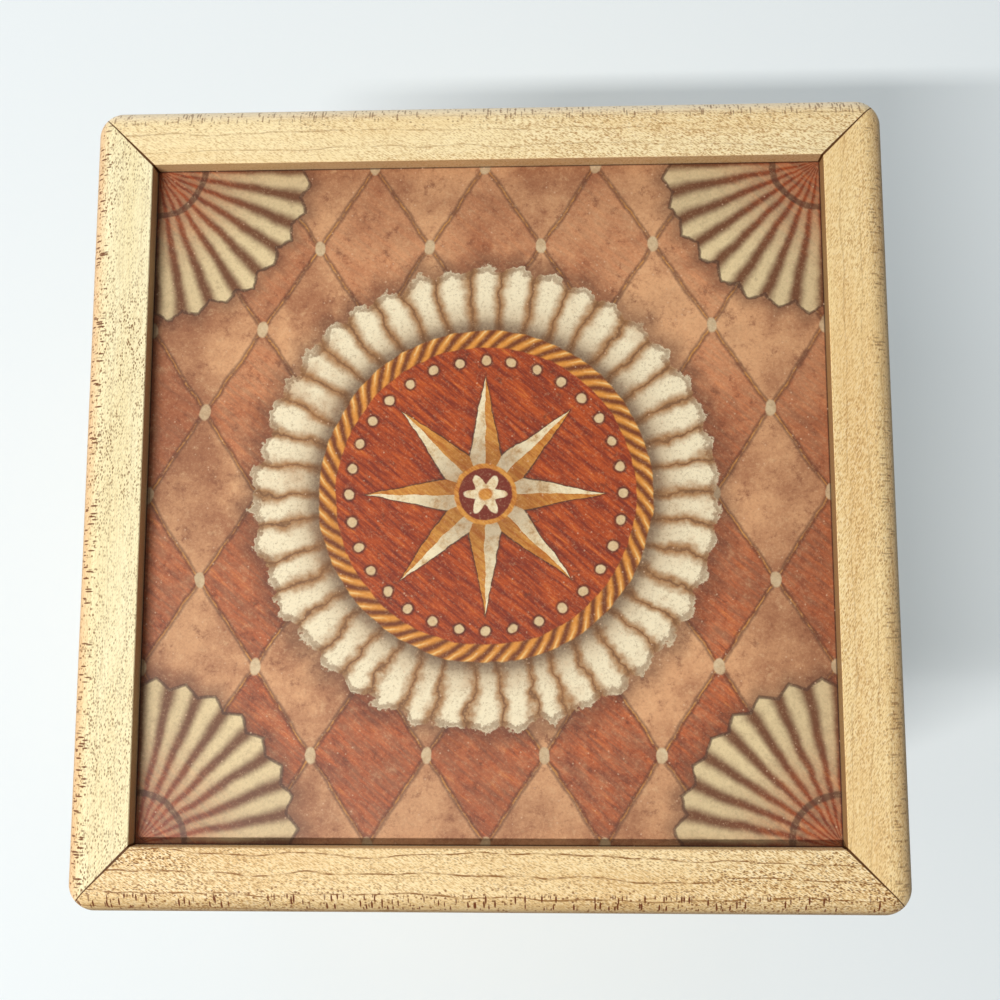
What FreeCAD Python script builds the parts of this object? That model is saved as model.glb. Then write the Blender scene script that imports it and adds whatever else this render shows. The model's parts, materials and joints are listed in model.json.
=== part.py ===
"""Jack in the box: a square maple box with a framed picture lid, a push-button catch and a sprung jester.

The lid is shut and the spring is pressed down. Millimetres, +Z up, front towards -Y, hinges at the back (+Y).
The origin is on the floor, under the middle of the box.
"""

import FreeCAD, Part
import math
import os

V = FreeCAD.Vector
UP = V(0, 0, 1)
DOWN = V(0, 0, -1)

# Lid frame: four mitred rails with a lip over the picture
lid_side = 181.0
lid_height = 22.0
lid_corner_radius = 6.0
lid_top_round = 5.0
rail_width = 14.0
lip_thickness = 4.3
rabbet_width = 3.5
inner_edge_ease = 0.2
lower_edge_ease = 0.5

# Picture panel, its backing board and the beads that hold them
panel_thickness = 3.2
backing_thickness = 3.0
panel_clearance = 0.4
bead_size = 4.0
bead_round = 2.5
bead_pin_radius = 0.6
bead_pin_head_radius = 1.1
bead_pin_head_height = 0.5
bead_pin_length = 9.0
bead_pin_inset = 30.0

# Box walls, bottom and feet
lid_overhang = 4.0
lid_gap = 0.4
wall_height = 132.0
wall_thickness = 10.0
wall_corner_radius = 5.0
wall_edge_ease = 0.5
bottom_thickness = 4.0
bottom_rise = 5.0
groove_depth = 4.0
groove_clearance = 0.1
foot_thickness = 2.0
foot_radius = 6.0
foot_inset = 1.0

# Butt hinges, let into the back wall and the back rail
hinge_setback = 0.7
hinge_inset = 36.5
hinge_length = 30.0
hinge_leaf_width = 6.8
hinge_leaf_thickness = 1.0
hinge_leaf_gap = 0.2
knuckle_radius = 2.2
knuckle_share = 0.4
knuckle_gap = 0.15
knuckle_clearance = 0.3
hinge_pin_radius = 1.0
hinge_screw_spacing = 18.0

# Push-button catch in the front wall
button_drop = 22.0
button_radius = 6.5
button_thickness = 3.5
button_face_thickness = 1.3
button_rim = 1.3
button_standoff = 0.1
button_travel = 2.6
button_stop_gap = 0.4
button_round_share = 0.6
stem_radius = 2.0
stem_thread_radius = 1.7
stem_socket = 0.8
bezel_radius = 10.5
bezel_thickness = 1.6
bezel_clearance = 0.4
bezel_round_share = 0.5
bush_radius = 3.5
bush_flange_radius = 5.0
bush_flange_thickness = 1.0
recess_depth = 4.6
keeper_width = 18.0
keeper_thickness = 1.2
keeper_side_room = 1.0
keeper_bar_height = 3.4
keeper_strap = 3.0
keeper_window_height = 6.0
keeper_round_share = 0.4
hook_width = 12.0
hook_plate_thickness = 2.0
hook_block_below = 5.5
hook_guide_clearance = 0.2
hook_stop_gap = 0.3
nose_drop = 10.0
nose_radius = 1.8
nose_side_room = 1.0
hook_tip = 1.1
nose_bar_gap = 0.3
keeper_hook_gap = 0.5
nut_flats = 6.5
nut_thickness = 2.5
stem_end = 0.8
catch_spring_radius = 4.1
catch_spring_wire = 0.3
catch_spring_turns = 4.0

# Jack: spring, discs and neck
base_margin = 13.0
base_thickness = 8.0
shoulder_margin = 6.0
shoulder_thickness = 8.0
spring_radius = 29.0
spring_wire = 1.0
spring_turn_room = 3.6
spring_seat_gap = 0.05
staple_radius = 0.6
staple_gap = 0.15
staple_depth = 5.0
base_screw_circle = 20.0
neck_radius = 7.0
neck_length = 17.0
neck_socket = 6.0
head_socket = 18.0

# Jack: head and face
head_radius = 30.0
head_flat_radius = 12.0
jack_headroom = 12.4
nose_ball_radius = 5.0
nose_ball_angle = -3.0
eye_radius = 2.8
eye_spread_angle = 21.0
eye_lift_angle = 10.0

# Jack: cap with three stuffed points and bells
hat_gap = 0.3
hat_thickness = 2.5
hat_level = 8.0
hat_tilt_angle = 20.0
band_radius = 2.8
band_out = 1.7
point_arc_radius = 22.0
point_arc_out = 35.0
point_arc_up = 2.5
point_root_angle = 140.0
point_root_radius = 13.0
point_tip_radius = 3.5
side_point_angle = -30.0
back_point_angle = 20.0
bell_radius = 5.5
bell_neck_radius = 1.6
bell_neck_length = 0.8
bell_slot = 1.0

# Jack: ruff, gown and arms
ruff_radius = 50.0
ruff_pleats = 18
ruff_thickness = 1.2
ruff_wave_inner = 1.2
ruff_wave_outer = 6.0
ruff_height = 9.0
ruff_neck_gap = 0.3
gown_top_inset = 1.0
gown_bottom_inset = 1.0
gown_puffs = 8
gown_puff_depth = 1.6
gown_end_depth = 0.6
gown_spring_room = 6.0
gown_wall = 1.2
arm_arc_radius = 18.0
arm_out = 6.0
arm_arc_drop = 16.0
arm_start_angle = 105.0
arm_end_angle = -10.0
arm_shoulder_radius = 7.0
arm_wrist_radius = 6.0
arm_swell = 1.2
arm_gown_gap = 0.3
hand_radius = 8.0
hand_sink = 1.5

# Fits and screws
fit = 0.05
hinge_screw = {"shank": 1.0, "head": 1.9, "length": 8.0}
keeper_screw = {"shank": 1.2, "head": 2.2, "length": 8.0}
bezel_screw = {"shank": 0.8, "head": 1.4, "length": 5.0}
base_screw = {"shank": 1.5, "head": 2.8, "length": 10.0}
neck_screw_size = {"shank": 1.6, "head": 3.0, "length": 14.0}
screw_slot = 0.5

# Heights, from the floor up
wall_bottom = foot_thickness
wall_top = wall_bottom + wall_height
lid_bottom = wall_top + lid_gap
lid_top = lid_bottom + lid_height
panel_top = lid_top - lip_thickness
panel_bottom = panel_top - panel_thickness
backing_bottom = panel_bottom - backing_thickness
bead_bottom = backing_bottom - bead_size
bottom_panel_z = wall_bottom + bottom_rise
floor_top = bottom_panel_z + bottom_thickness

# Widths, from the lid's outline inwards
opening_side = lid_side - 2 * rail_width
rabbet_side = opening_side + 2 * rabbet_width
panel_side = rabbet_side - 2 * panel_clearance
wall_side = lid_side - 2 * lid_overhang
inner_side = wall_side - 2 * wall_thickness
wall_face = wall_side / 2
inner_face = inner_side / 2
rabbet_face = rabbet_side / 2

# Hinge line
hinge_y = wall_face + hinge_setback
hinge_z = wall_top + lid_gap / 2
hinge_places = (hinge_inset - wall_face, wall_face - hinge_inset)

# The jack's widths, from the spring outwards
base_radius = spring_radius + base_margin
shoulder_radius = spring_radius + shoulder_margin
gown_pinch_radius = spring_radius + spring_wire + gown_spring_room
arm_arc_out = shoulder_radius + arm_out

# The jack's stack, from the lid down to the pressed spring
head_z = backing_bottom - jack_headroom - head_radius
head_flat_z = head_z - math.sqrt(head_radius**2 - head_flat_radius**2)
shoulder_top = head_flat_z - neck_length
shoulder_bottom = shoulder_top - shoulder_thickness
base_top = floor_top + base_thickness
spring_foot = base_top + spring_wire + spring_seat_gap
spring_head = shoulder_bottom - spring_wire - spring_seat_gap
spring_turns = math.floor(4 * (spring_head - spring_foot) / spring_turn_room) / 4
spring_pitch = (spring_head - spring_foot) / spring_turns
head_centre = V(0, 0, head_z)
hat_inner_radius = head_radius + hat_gap
hat_outer_radius = hat_inner_radius + hat_thickness

# The catch's line, through the front wall
stem_z = wall_top - button_drop
nose_z = wall_top - nose_drop
recess_y = -inner_face - recess_depth
counterbore_depth = button_travel + button_stop_gap + bush_flange_thickness
counterbore_y = -wall_face + counterbore_depth
button_back = -wall_face - button_standoff
button_front = button_back - button_thickness
button_cavity_y = button_front + button_face_thickness
keeper_front = -rabbet_face
keeper_back = keeper_front + keeper_thickness
hook_front = keeper_back + keeper_hook_gap
hook_back = hook_front + hook_plate_thickness
hook_block_front = recess_y + hook_stop_gap
bar_top = nose_z - nose_radius - nose_bar_gap
keeper_bottom = bar_top - keeper_bar_height
hook_block_top = keeper_bottom - keeper_hook_gap * 2
nut_back = hook_back + nut_thickness

SIDES = ("front", "right", "back", "left")


def block(x0, x1, y0, y1, z0, z1):
    """A box between two corners."""
    return Part.makeBox(x1 - x0, y1 - y0, z1 - z0, V(x0, y0, z0))


def square_prism(side, z0, z1):
    """An upright square prism about the Z axis."""
    return block(-side / 2, side / 2, -side / 2, side / 2, z0, z1)


def rounded_prism(side, radius, z0, z1):
    """A square prism with rounded upright edges."""
    prism = square_prism(side, z0, z1)
    uprights = [e for e in prism.Edges if e.BoundBox.ZLength > (z1 - z0) / 2]
    return prism.makeFillet(radius, uprights)


def rim_edges(shape, z, inside=None):
    """Edges that lie at one height, all of them or only those within a half width of the Z axis."""
    level = [e for e in shape.Edges if abs(e.BoundBox.ZMin - z) < 1e-6 and abs(e.BoundBox.ZMax - z) < 1e-6]
    if inside is None:
        return level
    return [e for e in level if max(abs(e.CenterOfMass.x), abs(e.CenterOfMass.y)) < inside]


def rod(radius, start, direction, length):
    """A round rod from a point along a direction."""
    return Part.makeCylinder(radius, length, start, direction)


def mitre_quarter(side_name, z0, z1):
    """The wedge between two diagonals that holds one side's rail, wall or bead."""
    reach = lid_side
    corners = [V(0, 0, z0), V(-reach, -reach, z0), V(reach, -reach, z0), V(0, 0, z0)]
    wedge = Part.Face(Part.makePolygon(corners)).extrude(V(0, 0, z1 - z0))
    return turned_to(side_name, wedge)


def turned_to(side_name, shape):
    """Turns a piece made at the front round the Z axis to another side, a quarter turn for each."""
    shape.rotate(V(0, 0, 0), UP, 90 * SIDES.index(side_name))
    return shape


def screw(place, direction, size, grow=0.0, slotted=True):
    """A countersunk screw whose head is flush at its place and which points along a direction."""
    shank = size["shank"] + grow
    head = size["head"] + grow
    sink = head - shank
    body = rod(shank, place, direction, size["length"] + grow)
    cone = Part.makeCone(head, shank, sink, place, direction)
    solid = body.fuse(cone).removeSplitter()
    if not slotted:
        return solid
    across = direction.cross(UP) if abs(direction.z) < 0.5 else V(1, 0, 0)
    side = direction.cross(across)
    half = screw_slot / 2
    corner = place - across * (head * 2) - side * half - direction * half
    slot = Part.Face(Part.makePolygon([
        corner,
        corner + across * (head * 4),
        corner + across * (head * 4) + side * screw_slot,
        corner + side * screw_slot,
        corner,
    ])).extrude(direction * screw_slot * 1.6)
    return solid.cut(slot)


def screw_set(places, direction, size):
    """Screws at several places, and the holes that they need."""
    screws = [screw(p, direction, size) for p in places]
    holes = [screw(p, direction, size, grow=fit, slotted=False) for p in places]
    return screws, holes


def biarc(start, start_way, end, end_way):
    """Two arcs from one point and direction to another, with no kink where they meet."""
    span = end - start
    ways = start_way + end_way
    spread = 2 * (1 - start_way.dot(end_way))
    along = span.dot(ways)
    reach = (-along + math.sqrt(along**2 + spread * span.dot(span))) / spread
    middle = (start + end + (start_way - end_way) * reach) * 0.5
    return [tangent_arc(start, start_way, middle), tangent_arc(end, end_way * -1, middle)]


def tangent_arc(start, way, end):
    """The arc that leaves a point along a direction and passes through another."""
    chord = end - start
    length = chord.Length
    chord_way = chord * (1 / length)
    side = way - chord_way * way.dot(chord_way)
    turn = math.acos(max(-1.0, min(1.0, way.dot(chord_way))))
    rise = length / 2 * math.tan(turn / 2)
    crown = (start + end) * 0.5 + side * (rise / side.Length)
    return Part.Arc(start, crown, end).toShape()


def coil(radius, wire_radius, height, turns, name):
    """A wire wound round +Z from the XY plane: one tube on biarcs of a quarter turn."""
    quarters = round(turns * 4)
    pitch = height / turns

    def point(turn):
        angle = turn * 2 * math.pi
        return V(radius * math.cos(angle), radius * math.sin(angle), pitch * turn)

    def way(turn):
        angle = turn * 2 * math.pi
        rise = pitch / (2 * math.pi)
        return V(-radius * math.sin(angle), radius * math.cos(angle), rise).normalize()

    stops = [turns * i / quarters for i in range(quarters + 1)]
    edges = []
    for a, b in zip(stops, stops[1:]):
        first, last = biarc(point(a), way(a), point(b), way(b))
        edges += [first, last]
    path = Part.Wire(edges)
    ring = Part.Wire(Part.makeCircle(wire_radius, point(0), way(0)))
    tube = path.makePipeShell([ring], True, False)
    steps = 36
    samples = [point(turns * i / (steps * turns)) for i in range(int(steps * turns) + 1)]
    nearest = min(
        (samples[i] - samples[j]).Length
        for i in range(len(samples))
        for j in range(i + steps * 3 // 4, min(len(samples), i + steps * 5 // 4))
    )
    print(f"{name}: least gap between turns {nearest - 2 * wire_radius:.2f} mm,",
          f"volume over section times length {tube.Volume / (math.pi * wire_radius**2 * path.Length):.4f}")
    return tube


def ring_of_arcs(centre, radius, across, up):
    """A circle made of four quarter arcs, for lofts."""
    def at(angle):
        return centre + across * (radius * math.cos(angle)) + up * (radius * math.sin(angle))

    quarter = math.pi / 2
    return Part.Wire([
        Part.Arc(at(i * quarter), at((i + 0.5) * quarter), at((i + 1) * quarter)).toShape() for i in range(4)
    ])


def stuffed_limb(centre_out, centre_up, arc_radius, angles, radii, azimuth):
    """A stuffed tube along an arc in an upright plane through the Z axis, with a radius at each angle."""
    rings = []
    for angle, radius in zip(angles, radii):
        a = math.radians(angle)
        spoke = V(math.cos(a), 0, math.sin(a))
        place = V(centre_out, 0, centre_up) + spoke * arc_radius
        rings.append(ring_of_arcs(place, radius, V(0, 1, 0), spoke))
    limb = Part.makeLoft(rings, True, False)
    limb.rotate(V(0, 0, 0), UP, azimuth)
    return limb


def limb_end(centre_out, centre_up, arc_radius, angle, azimuth):
    """Where such a limb ends, and the direction in which it ends."""
    a = math.radians(angle)
    place = V(centre_out + arc_radius * math.cos(a), 0, centre_up + arc_radius * math.sin(a))
    way = V(math.sin(a), 0, -math.cos(a))
    turn = FreeCAD.Rotation(UP, azimuth)
    return turn.multVec(place), turn.multVec(way)


def on_head(azimuth, lift):
    """A point on the head's surface: azimuth from the front, towards +X, and lift above the head's middle."""
    a = math.radians(azimuth)
    b = math.radians(lift)
    return head_centre + V(math.sin(a) * math.cos(b), -math.cos(a) * math.cos(b), math.sin(b)) * head_radius


# Hinges: leaves, knuckles, pins and screws


def hinge_barrel(radius, x0, x1):
    """A round stretch of the hinge line: a knuckle, a pin, a bore or the room for one."""
    return rod(radius, V(x0, hinge_y, hinge_z), V(1, 0, 0), x1 - x0)


def hinge_set():
    """Both hinges as nodes, and the cuts that they need in the wall and the lid."""
    parts = {}
    box_screws, lid_screws, wall_cuts, lid_cuts = [], [], [], []
    knuckle_length = hinge_length * knuckle_share
    end_length = (hinge_length - knuckle_length) / 2
    half_gap = hinge_leaf_gap / 2
    leaf_y = hinge_y - hinge_leaf_width
    for x, hand in zip(hinge_places, ("left", "right")):
        x0 = x - hinge_length / 2
        x1 = x + hinge_length / 2
        middle = (x - knuckle_length / 2, x + knuckle_length / 2)
        box_spans = [(x0, x0 + end_length), (x1 - end_length, x1)]
        bore = hinge_barrel(hinge_pin_radius + fit, x0, x1)

        box_leaf_top = hinge_z - half_gap
        lid_leaf_foot = hinge_z + half_gap
        box_plate = block(x0, x1, leaf_y, hinge_y, box_leaf_top - hinge_leaf_thickness, box_leaf_top)
        lid_plate = block(x0, x1, leaf_y, hinge_y, lid_leaf_foot, lid_leaf_foot + hinge_leaf_thickness)
        room = knuckle_radius + knuckle_gap
        box_knuckles = [hinge_barrel(knuckle_radius, a, b) for a, b in box_spans]
        lid_knuckle = hinge_barrel(knuckle_radius, middle[0] + knuckle_gap, middle[1] - knuckle_gap)
        box_clear = hinge_barrel(room, middle[0], middle[1])
        lid_clear = [hinge_barrel(room, a - knuckle_gap, b + knuckle_gap) for a, b in box_spans]
        screw_y = (leaf_y + hinge_y - knuckle_radius) / 2
        xs = (x - hinge_screw_spacing / 2, x + hinge_screw_spacing / 2)
        down, down_holes = screw_set([V(a, screw_y, box_leaf_top) for a in xs], DOWN, hinge_screw)
        up, up_holes = screw_set([V(a, screw_y, lid_leaf_foot) for a in xs], UP, hinge_screw)

        box_leaf = box_plate.cut(box_clear).multiFuse(box_knuckles).cut(bore)
        lid_leaf = lid_plate.cut(Part.makeCompound(lid_clear)).fuse(lid_knuckle).cut(bore)
        parts[f"hinge_leaf_box_{hand}"] = box_leaf.removeSplitter().cut(Part.makeCompound(down_holes))
        parts[f"hinge_leaf_lid_{hand}"] = lid_leaf.removeSplitter().cut(Part.makeCompound(up_holes))
        parts[f"hinge_pin_{hand}"] = hinge_barrel(hinge_pin_radius, x0, x1)
        box_screws += down
        lid_screws += up
        groove_radius = knuckle_radius + knuckle_clearance
        groove = hinge_barrel(groove_radius, x0 - knuckle_clearance, x1 + knuckle_clearance)
        wall_cuts += [box_plate, groove] + down_holes
        lid_cuts += [lid_plate, groove] + up_holes
    parts["hinge_screws_box"] = Part.makeCompound(box_screws)
    parts["hinge_screws_lid"] = Part.makeCompound(lid_screws)
    return parts, wall_cuts, lid_cuts


# Push-button catch: button, stem, hook, spring, bush, bezel and the keeper on the lid


def front_rim(shape, y):
    """The edges of a round piece that lie in one plane across the Y axis."""
    return [e for e in shape.Edges if abs(e.BoundBox.YMin - y) < 1e-6 and abs(e.BoundBox.YMax - y) < 1e-6]


def catch_set():
    """The catch's nodes, and the cuts that it needs in the front wall and the front rail."""
    along = V(0, 1, 0)
    axis = V(0, 0, stem_z)

    def at(y):
        return axis + V(0, y, 0)

    parts = {}
    cap = rod(button_radius, at(button_front), along, button_thickness)
    cap = cap.makeFillet(button_face_thickness * button_round_share, front_rim(cap, button_front))
    cap = cap.cut(rod(button_radius - button_rim, at(button_cavity_y), along, button_thickness))
    stem_front = button_cavity_y - stem_socket
    parts["push_button"] = cap.cut(rod(stem_radius, at(stem_front), along, stem_socket * 2))

    stem = rod(stem_radius, at(stem_front), along, hook_block_front - stem_front)
    thread = rod(stem_thread_radius, at(hook_block_front), along, nut_back + stem_end - hook_block_front)
    parts["button_stem"] = stem.fuse(thread).removeSplitter()

    half = hook_width / 2
    lower = block(-half, half, hook_block_front, hook_back, stem_z - hook_block_below, hook_block_top)
    upper = block(-half, half, hook_front, hook_back, hook_block_top, nose_z + nose_radius + hook_tip)
    nose_half = half - nose_side_room
    nose = rod(nose_radius, V(-nose_half, hook_front, nose_z), V(1, 0, 0), 2 * nose_half)
    hook = lower.fuse(upper).fuse(nose).removeSplitter()
    hook_bore = rod(stem_thread_radius + fit, at(hook_block_front), along, hook_back - hook_block_front)
    parts["catch_hook"] = hook.cut(hook_bore)

    corner = nut_flats / math.sqrt(3)
    hexagon = [
        at(hook_back) + V(corner * math.cos(math.radians(60 * i)), 0, corner * math.sin(math.radians(60 * i)))
        for i in range(7)
    ]
    nut = Part.Face(Part.makePolygon(hexagon)).extrude(along * nut_thickness)
    parts["hook_nut"] = nut.cut(rod(stem_thread_radius + fit, at(hook_back), along, nut_thickness))

    flange_front = counterbore_y - bush_flange_thickness
    bush = rod(bush_radius, at(counterbore_y), along, recess_y - counterbore_y)
    flange = rod(bush_flange_radius, at(flange_front), along, bush_flange_thickness)
    bush = bush.fuse(flange).removeSplitter()
    parts["catch_bush"] = bush.cut(rod(stem_radius + fit, at(flange_front), along, recess_y - flange_front))

    seat_gap = catch_spring_wire + spring_seat_gap
    spring_start = button_cavity_y + seat_gap
    spring = coil(catch_spring_radius, catch_spring_wire, flange_front - seat_gap - spring_start,
                  catch_spring_turns, "catch_spring")
    spring.rotate(V(0, 0, 0), V(1, 0, 0), -90)
    spring.translate(at(spring_start))
    parts["catch_spring"] = spring

    ring_bore = button_radius + bezel_clearance
    bezel_front = -wall_face - bezel_thickness
    bezel = rod(bezel_radius, at(bezel_front), along, bezel_thickness)
    bezel = bezel.makeFillet(bezel_thickness * bezel_round_share, front_rim(bezel, bezel_front))
    bezel = bezel.cut(rod(ring_bore, at(bezel_front), along, bezel_thickness))
    screw_out = (bezel_radius + ring_bore) / 2
    places = [at(bezel_front) + V(s * screw_out, 0, 0) for s in (-1, 1)]
    screws, bezel_holes = screw_set(places, along, bezel_screw)
    parts["button_bezel"] = bezel.cut(Part.makeCompound(bezel_holes))
    parts["bezel_screws"] = Part.makeCompound(screws)

    strap = keeper_width / 2
    plate = block(-strap, strap, keeper_front, keeper_back, keeper_bottom, bead_bottom - panel_clearance)
    window_half = strap - keeper_strap
    window_top = bar_top + keeper_window_height
    window = block(-window_half, window_half, keeper_front, keeper_back, bar_top, window_top)
    keeper = plate.cut(window)
    bar = [e for e in keeper.Edges if abs(e.BoundBox.ZMin - bar_top) < 1e-6 and e.BoundBox.ZLength < 1e-6]
    long_bar = [e for e in bar if e.BoundBox.XLength > window_half]
    keeper = keeper.makeFillet(keeper_thickness * keeper_round_share, long_bar)
    screw_z = (lid_bottom + bead_bottom) / 2
    places = [V(s * (strap - keeper_strap), keeper_back, screw_z) for s in (-1, 1)]
    screws, keeper_holes = screw_set(places, V(0, -1, 0), keeper_screw)
    parts["lid_keeper"] = keeper.cut(Part.makeCompound(keeper_holes))
    parts["keeper_screws"] = Part.makeCompound(screws)

    room = strap + keeper_side_room
    guide = half + hook_guide_clearance
    shelf_z = hook_block_top + keeper_hook_gap
    guide_foot = stem_z - hook_block_below - hook_guide_clearance
    wall_cuts = [
        block(-room, room, recess_y, -inner_face, shelf_z, wall_top),
        block(-guide, guide, recess_y, -inner_face, guide_foot, shelf_z),
        rod(ring_bore, at(-wall_face), along, counterbore_depth),
        rod(bush_radius, at(counterbore_y), along, recess_y - counterbore_y),
    ] + bezel_holes
    return parts, wall_cuts, keeper_holes


# Lid: rails, picture panel, backing board, beads and pins


def lid_set(back_cuts, front_cuts):
    """The lid's wooden pieces. The hinges cut the back rail and the keeper's screws cut the front rail."""
    parts = {}
    frame = rounded_prism(lid_side, lid_corner_radius, lid_bottom, lid_top)
    frame = frame.makeFillet(lid_top_round, rim_edges(frame, lid_top))
    frame = frame.makeChamfer(lower_edge_ease, rim_edges(frame, lid_bottom))
    frame = frame.cut(square_prism(opening_side, lid_bottom, lid_top))
    sight_edges = rim_edges(frame, lid_top, inside=opening_side / 2 + inner_edge_ease)
    frame = frame.makeChamfer(inner_edge_ease, sight_edges)
    frame = frame.cut(square_prism(rabbet_side, lid_bottom, panel_top))

    pins, pin_holes = [], []
    bead_inner = rabbet_face - bead_size
    pin_x = rabbet_face - bead_pin_inset
    for side_name in SIDES:
        for x in (-pin_x, pin_x):
            place = V(x, -bead_inner, (backing_bottom + bead_bottom) / 2)
            nail = rod(bead_pin_radius, place, V(0, -1, 0), bead_pin_length)
            head_top = place + V(0, bead_pin_head_height, 0)
            head = rod(bead_pin_head_radius, head_top, V(0, -1, 0), bead_pin_head_height)
            hole = rod(bead_pin_radius + fit, place, V(0, -1, 0), bead_pin_length + fit)
            pins.append(turned_to(side_name, nail.fuse(head).removeSplitter()))
            pin_holes.append(turned_to(side_name, hole))
    holes = Part.makeCompound(pin_holes)

    beads = square_prism(rabbet_side, bead_bottom, backing_bottom)
    beads = beads.cut(square_prism(rabbet_side - 2 * bead_size, bead_bottom, backing_bottom))
    beads = beads.makeFillet(bead_round, rim_edges(beads, bead_bottom, inside=rabbet_face - bead_size / 2))
    extra = {"back": back_cuts, "front": front_cuts}
    strips = []
    for side_name in SIDES:
        wedge = mitre_quarter(side_name, lid_bottom - 1, lid_top + 1)
        cuts = Part.makeCompound(pin_holes + extra.get(side_name, []))
        parts[f"lid_rail_{side_name}"] = frame.common(wedge).cut(cuts)
        strips.append(beads.common(wedge).cut(holes))
    parts["retaining_beads"] = Part.makeCompound(strips)
    parts["bead_pins"] = Part.makeCompound(pins)
    parts["picture_panel"] = square_prism(panel_side, panel_bottom, panel_top)
    parts["backing_board"] = square_prism(panel_side, backing_bottom, panel_bottom)
    return parts


# Box: walls, bottom panel and feet


def box_set(back_cuts, front_cuts):
    """The box's walls, cut for the hinges and the catch, the bottom panel in their groove, and the feet."""
    parts = {}
    ring = rounded_prism(wall_side, wall_corner_radius, wall_bottom, wall_top)
    ring = ring.makeChamfer(wall_edge_ease, rim_edges(ring, wall_top) + rim_edges(ring, wall_bottom))
    ring = ring.cut(square_prism(inner_side, wall_bottom, wall_top))
    ring = ring.makeChamfer(wall_edge_ease, rim_edges(ring, wall_top, inside=inner_face + wall_edge_ease))
    groove_side = inner_side + 2 * groove_depth
    groove = square_prism(groove_side, bottom_panel_z, floor_top + groove_clearance)
    ring = ring.cut(groove)
    extra = {"back": back_cuts, "front": front_cuts}
    for side_name in SIDES:
        wall = ring.common(mitre_quarter(side_name, wall_bottom - 1, wall_top + 1))
        cuts = extra.get(side_name)
        parts[f"{side_name}_wall"] = wall.cut(Part.makeCompound(cuts)) if cuts else wall

    screws, holes = base_screw_set()
    panel = square_prism(groove_side - 4 * groove_clearance, bottom_panel_z, floor_top)
    parts["bottom_panel"] = panel.cut(Part.makeCompound(holes))
    parts["base_screws"] = Part.makeCompound(screws)
    reach = wall_face - foot_inset - foot_radius
    feet = [
        rod(foot_radius, V(sx * reach, sy * reach, 0), UP, foot_thickness) for sx in (-1, 1) for sy in (-1, 1)
    ]
    parts["felt_feet"] = Part.makeCompound(feet)
    return parts


def base_screw_set():
    """Three screws from under the bottom panel into the spring's base."""
    places = []
    for i in range(3):
        a = math.radians(90 + 120 * i)
        places.append(V(base_screw_circle * math.cos(a), base_screw_circle * math.sin(a), bottom_panel_z))
    return screw_set(places, UP, base_screw)


# Jack's spring with its base, shoulder, staples and neck


def staple(azimuth, coil_z, disc_way):
    """A wire staple over one coil, with both legs driven into the disc that the coil lies on."""
    a = math.radians(azimuth)
    outward = V(math.cos(a), math.sin(a), 0)
    middle = outward * spring_radius + V(0, 0, coil_z)
    half = spring_wire + staple_gap + staple_radius
    inner = middle - outward * half
    outer = middle + outward * half
    drive = disc_way * (staple_depth + spring_wire)
    path = Part.Wire([
        Part.makeLine(inner + drive, inner),
        Part.Arc(inner, middle - disc_way * half, outer).toShape(),
        Part.makeLine(outer, outer + drive),
    ])
    ring = Part.Wire(Part.makeCircle(staple_radius, inner + drive, disc_way))
    wire = path.makePipeShell([ring], True, False)
    depth = staple_depth + spring_wire + fit
    holes = [rod(staple_radius + fit, leg, disc_way, depth) for leg in (inner, outer)]
    return wire, holes


def spring_set():
    """The pop-up spring between its base and the jack's shoulder disc, stapled to both."""
    parts = {}
    spring = coil(spring_radius, spring_wire, spring_head - spring_foot, spring_turns, "pop_spring")
    spring.translate(V(0, 0, spring_foot))
    parts["pop_spring"] = spring

    end_azimuth = 360 * (spring_turns % 1)
    lower, upper, lower_holes, upper_holes = [], [], [], []
    for azimuth in (40, 160, 280):
        wire, holes = staple(azimuth, spring_foot + spring_pitch * azimuth / 360, DOWN)
        lower.append(wire)
        lower_holes += holes
        wire, holes = staple(end_azimuth - azimuth, spring_head - spring_pitch * azimuth / 360, UP)
        upper.append(wire)
        upper_holes += holes
    parts["spring_staples_lower"] = Part.makeCompound(lower)
    parts["spring_staples_upper"] = Part.makeCompound(upper)

    screw_holes = base_screw_set()[1]
    base = rod(base_radius, V(0, 0, floor_top), UP, base_thickness)
    parts["spring_base"] = base.cut(Part.makeCompound(screw_holes + lower_holes))

    neck_foot = shoulder_top - neck_socket
    neck_top = head_flat_z + head_socket
    screws, neck_holes = screw_set([V(0, 0, shoulder_bottom)], UP, neck_screw_size)
    dowel = rod(neck_radius, V(0, 0, neck_foot), UP, neck_top - neck_foot)
    parts["neck_dowel"] = dowel.cut(neck_holes[0])
    parts["neck_screw"] = screws[0]
    shoulder = rod(shoulder_radius, V(0, 0, shoulder_bottom), UP, shoulder_thickness)
    socket = rod(neck_radius + fit, V(0, 0, neck_foot), UP, neck_socket)
    parts["shoulder_disc"] = shoulder.cut(Part.makeCompound([socket, neck_holes[0]] + upper_holes))
    return parts


# Jack's head, nose and eyes


def head_set():
    """A turned ball head on the neck dowel, with a bead nose and two domed eyes."""
    parts = {}
    ball = Part.makeSphere(head_radius, head_centre)
    below = square_prism(4 * head_radius, head_flat_z - 2 * head_radius, head_flat_z)
    socket = rod(neck_radius + fit, V(0, 0, head_flat_z), UP, head_socket)
    parts["head"] = ball.cut(below).cut(socket)
    parts["nose"] = Part.makeSphere(nose_ball_radius, on_head(0, nose_ball_angle)).cut(ball)
    eye_places = [on_head(side * eye_spread_angle, eye_lift_angle) for side in (-1, 1)]
    parts["eyes"] = Part.makeCompound([Part.makeSphere(eye_radius, place).cut(ball) for place in eye_places])
    return parts


# Jack's cap: crown, rolled band, three stuffed points and a bell on each


def tilt_hat(shape):
    """Pushes a piece of the cap back on the head."""
    shape.rotate(head_centre, V(1, 0, 0), -hat_tilt_angle)
    return shape


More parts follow.
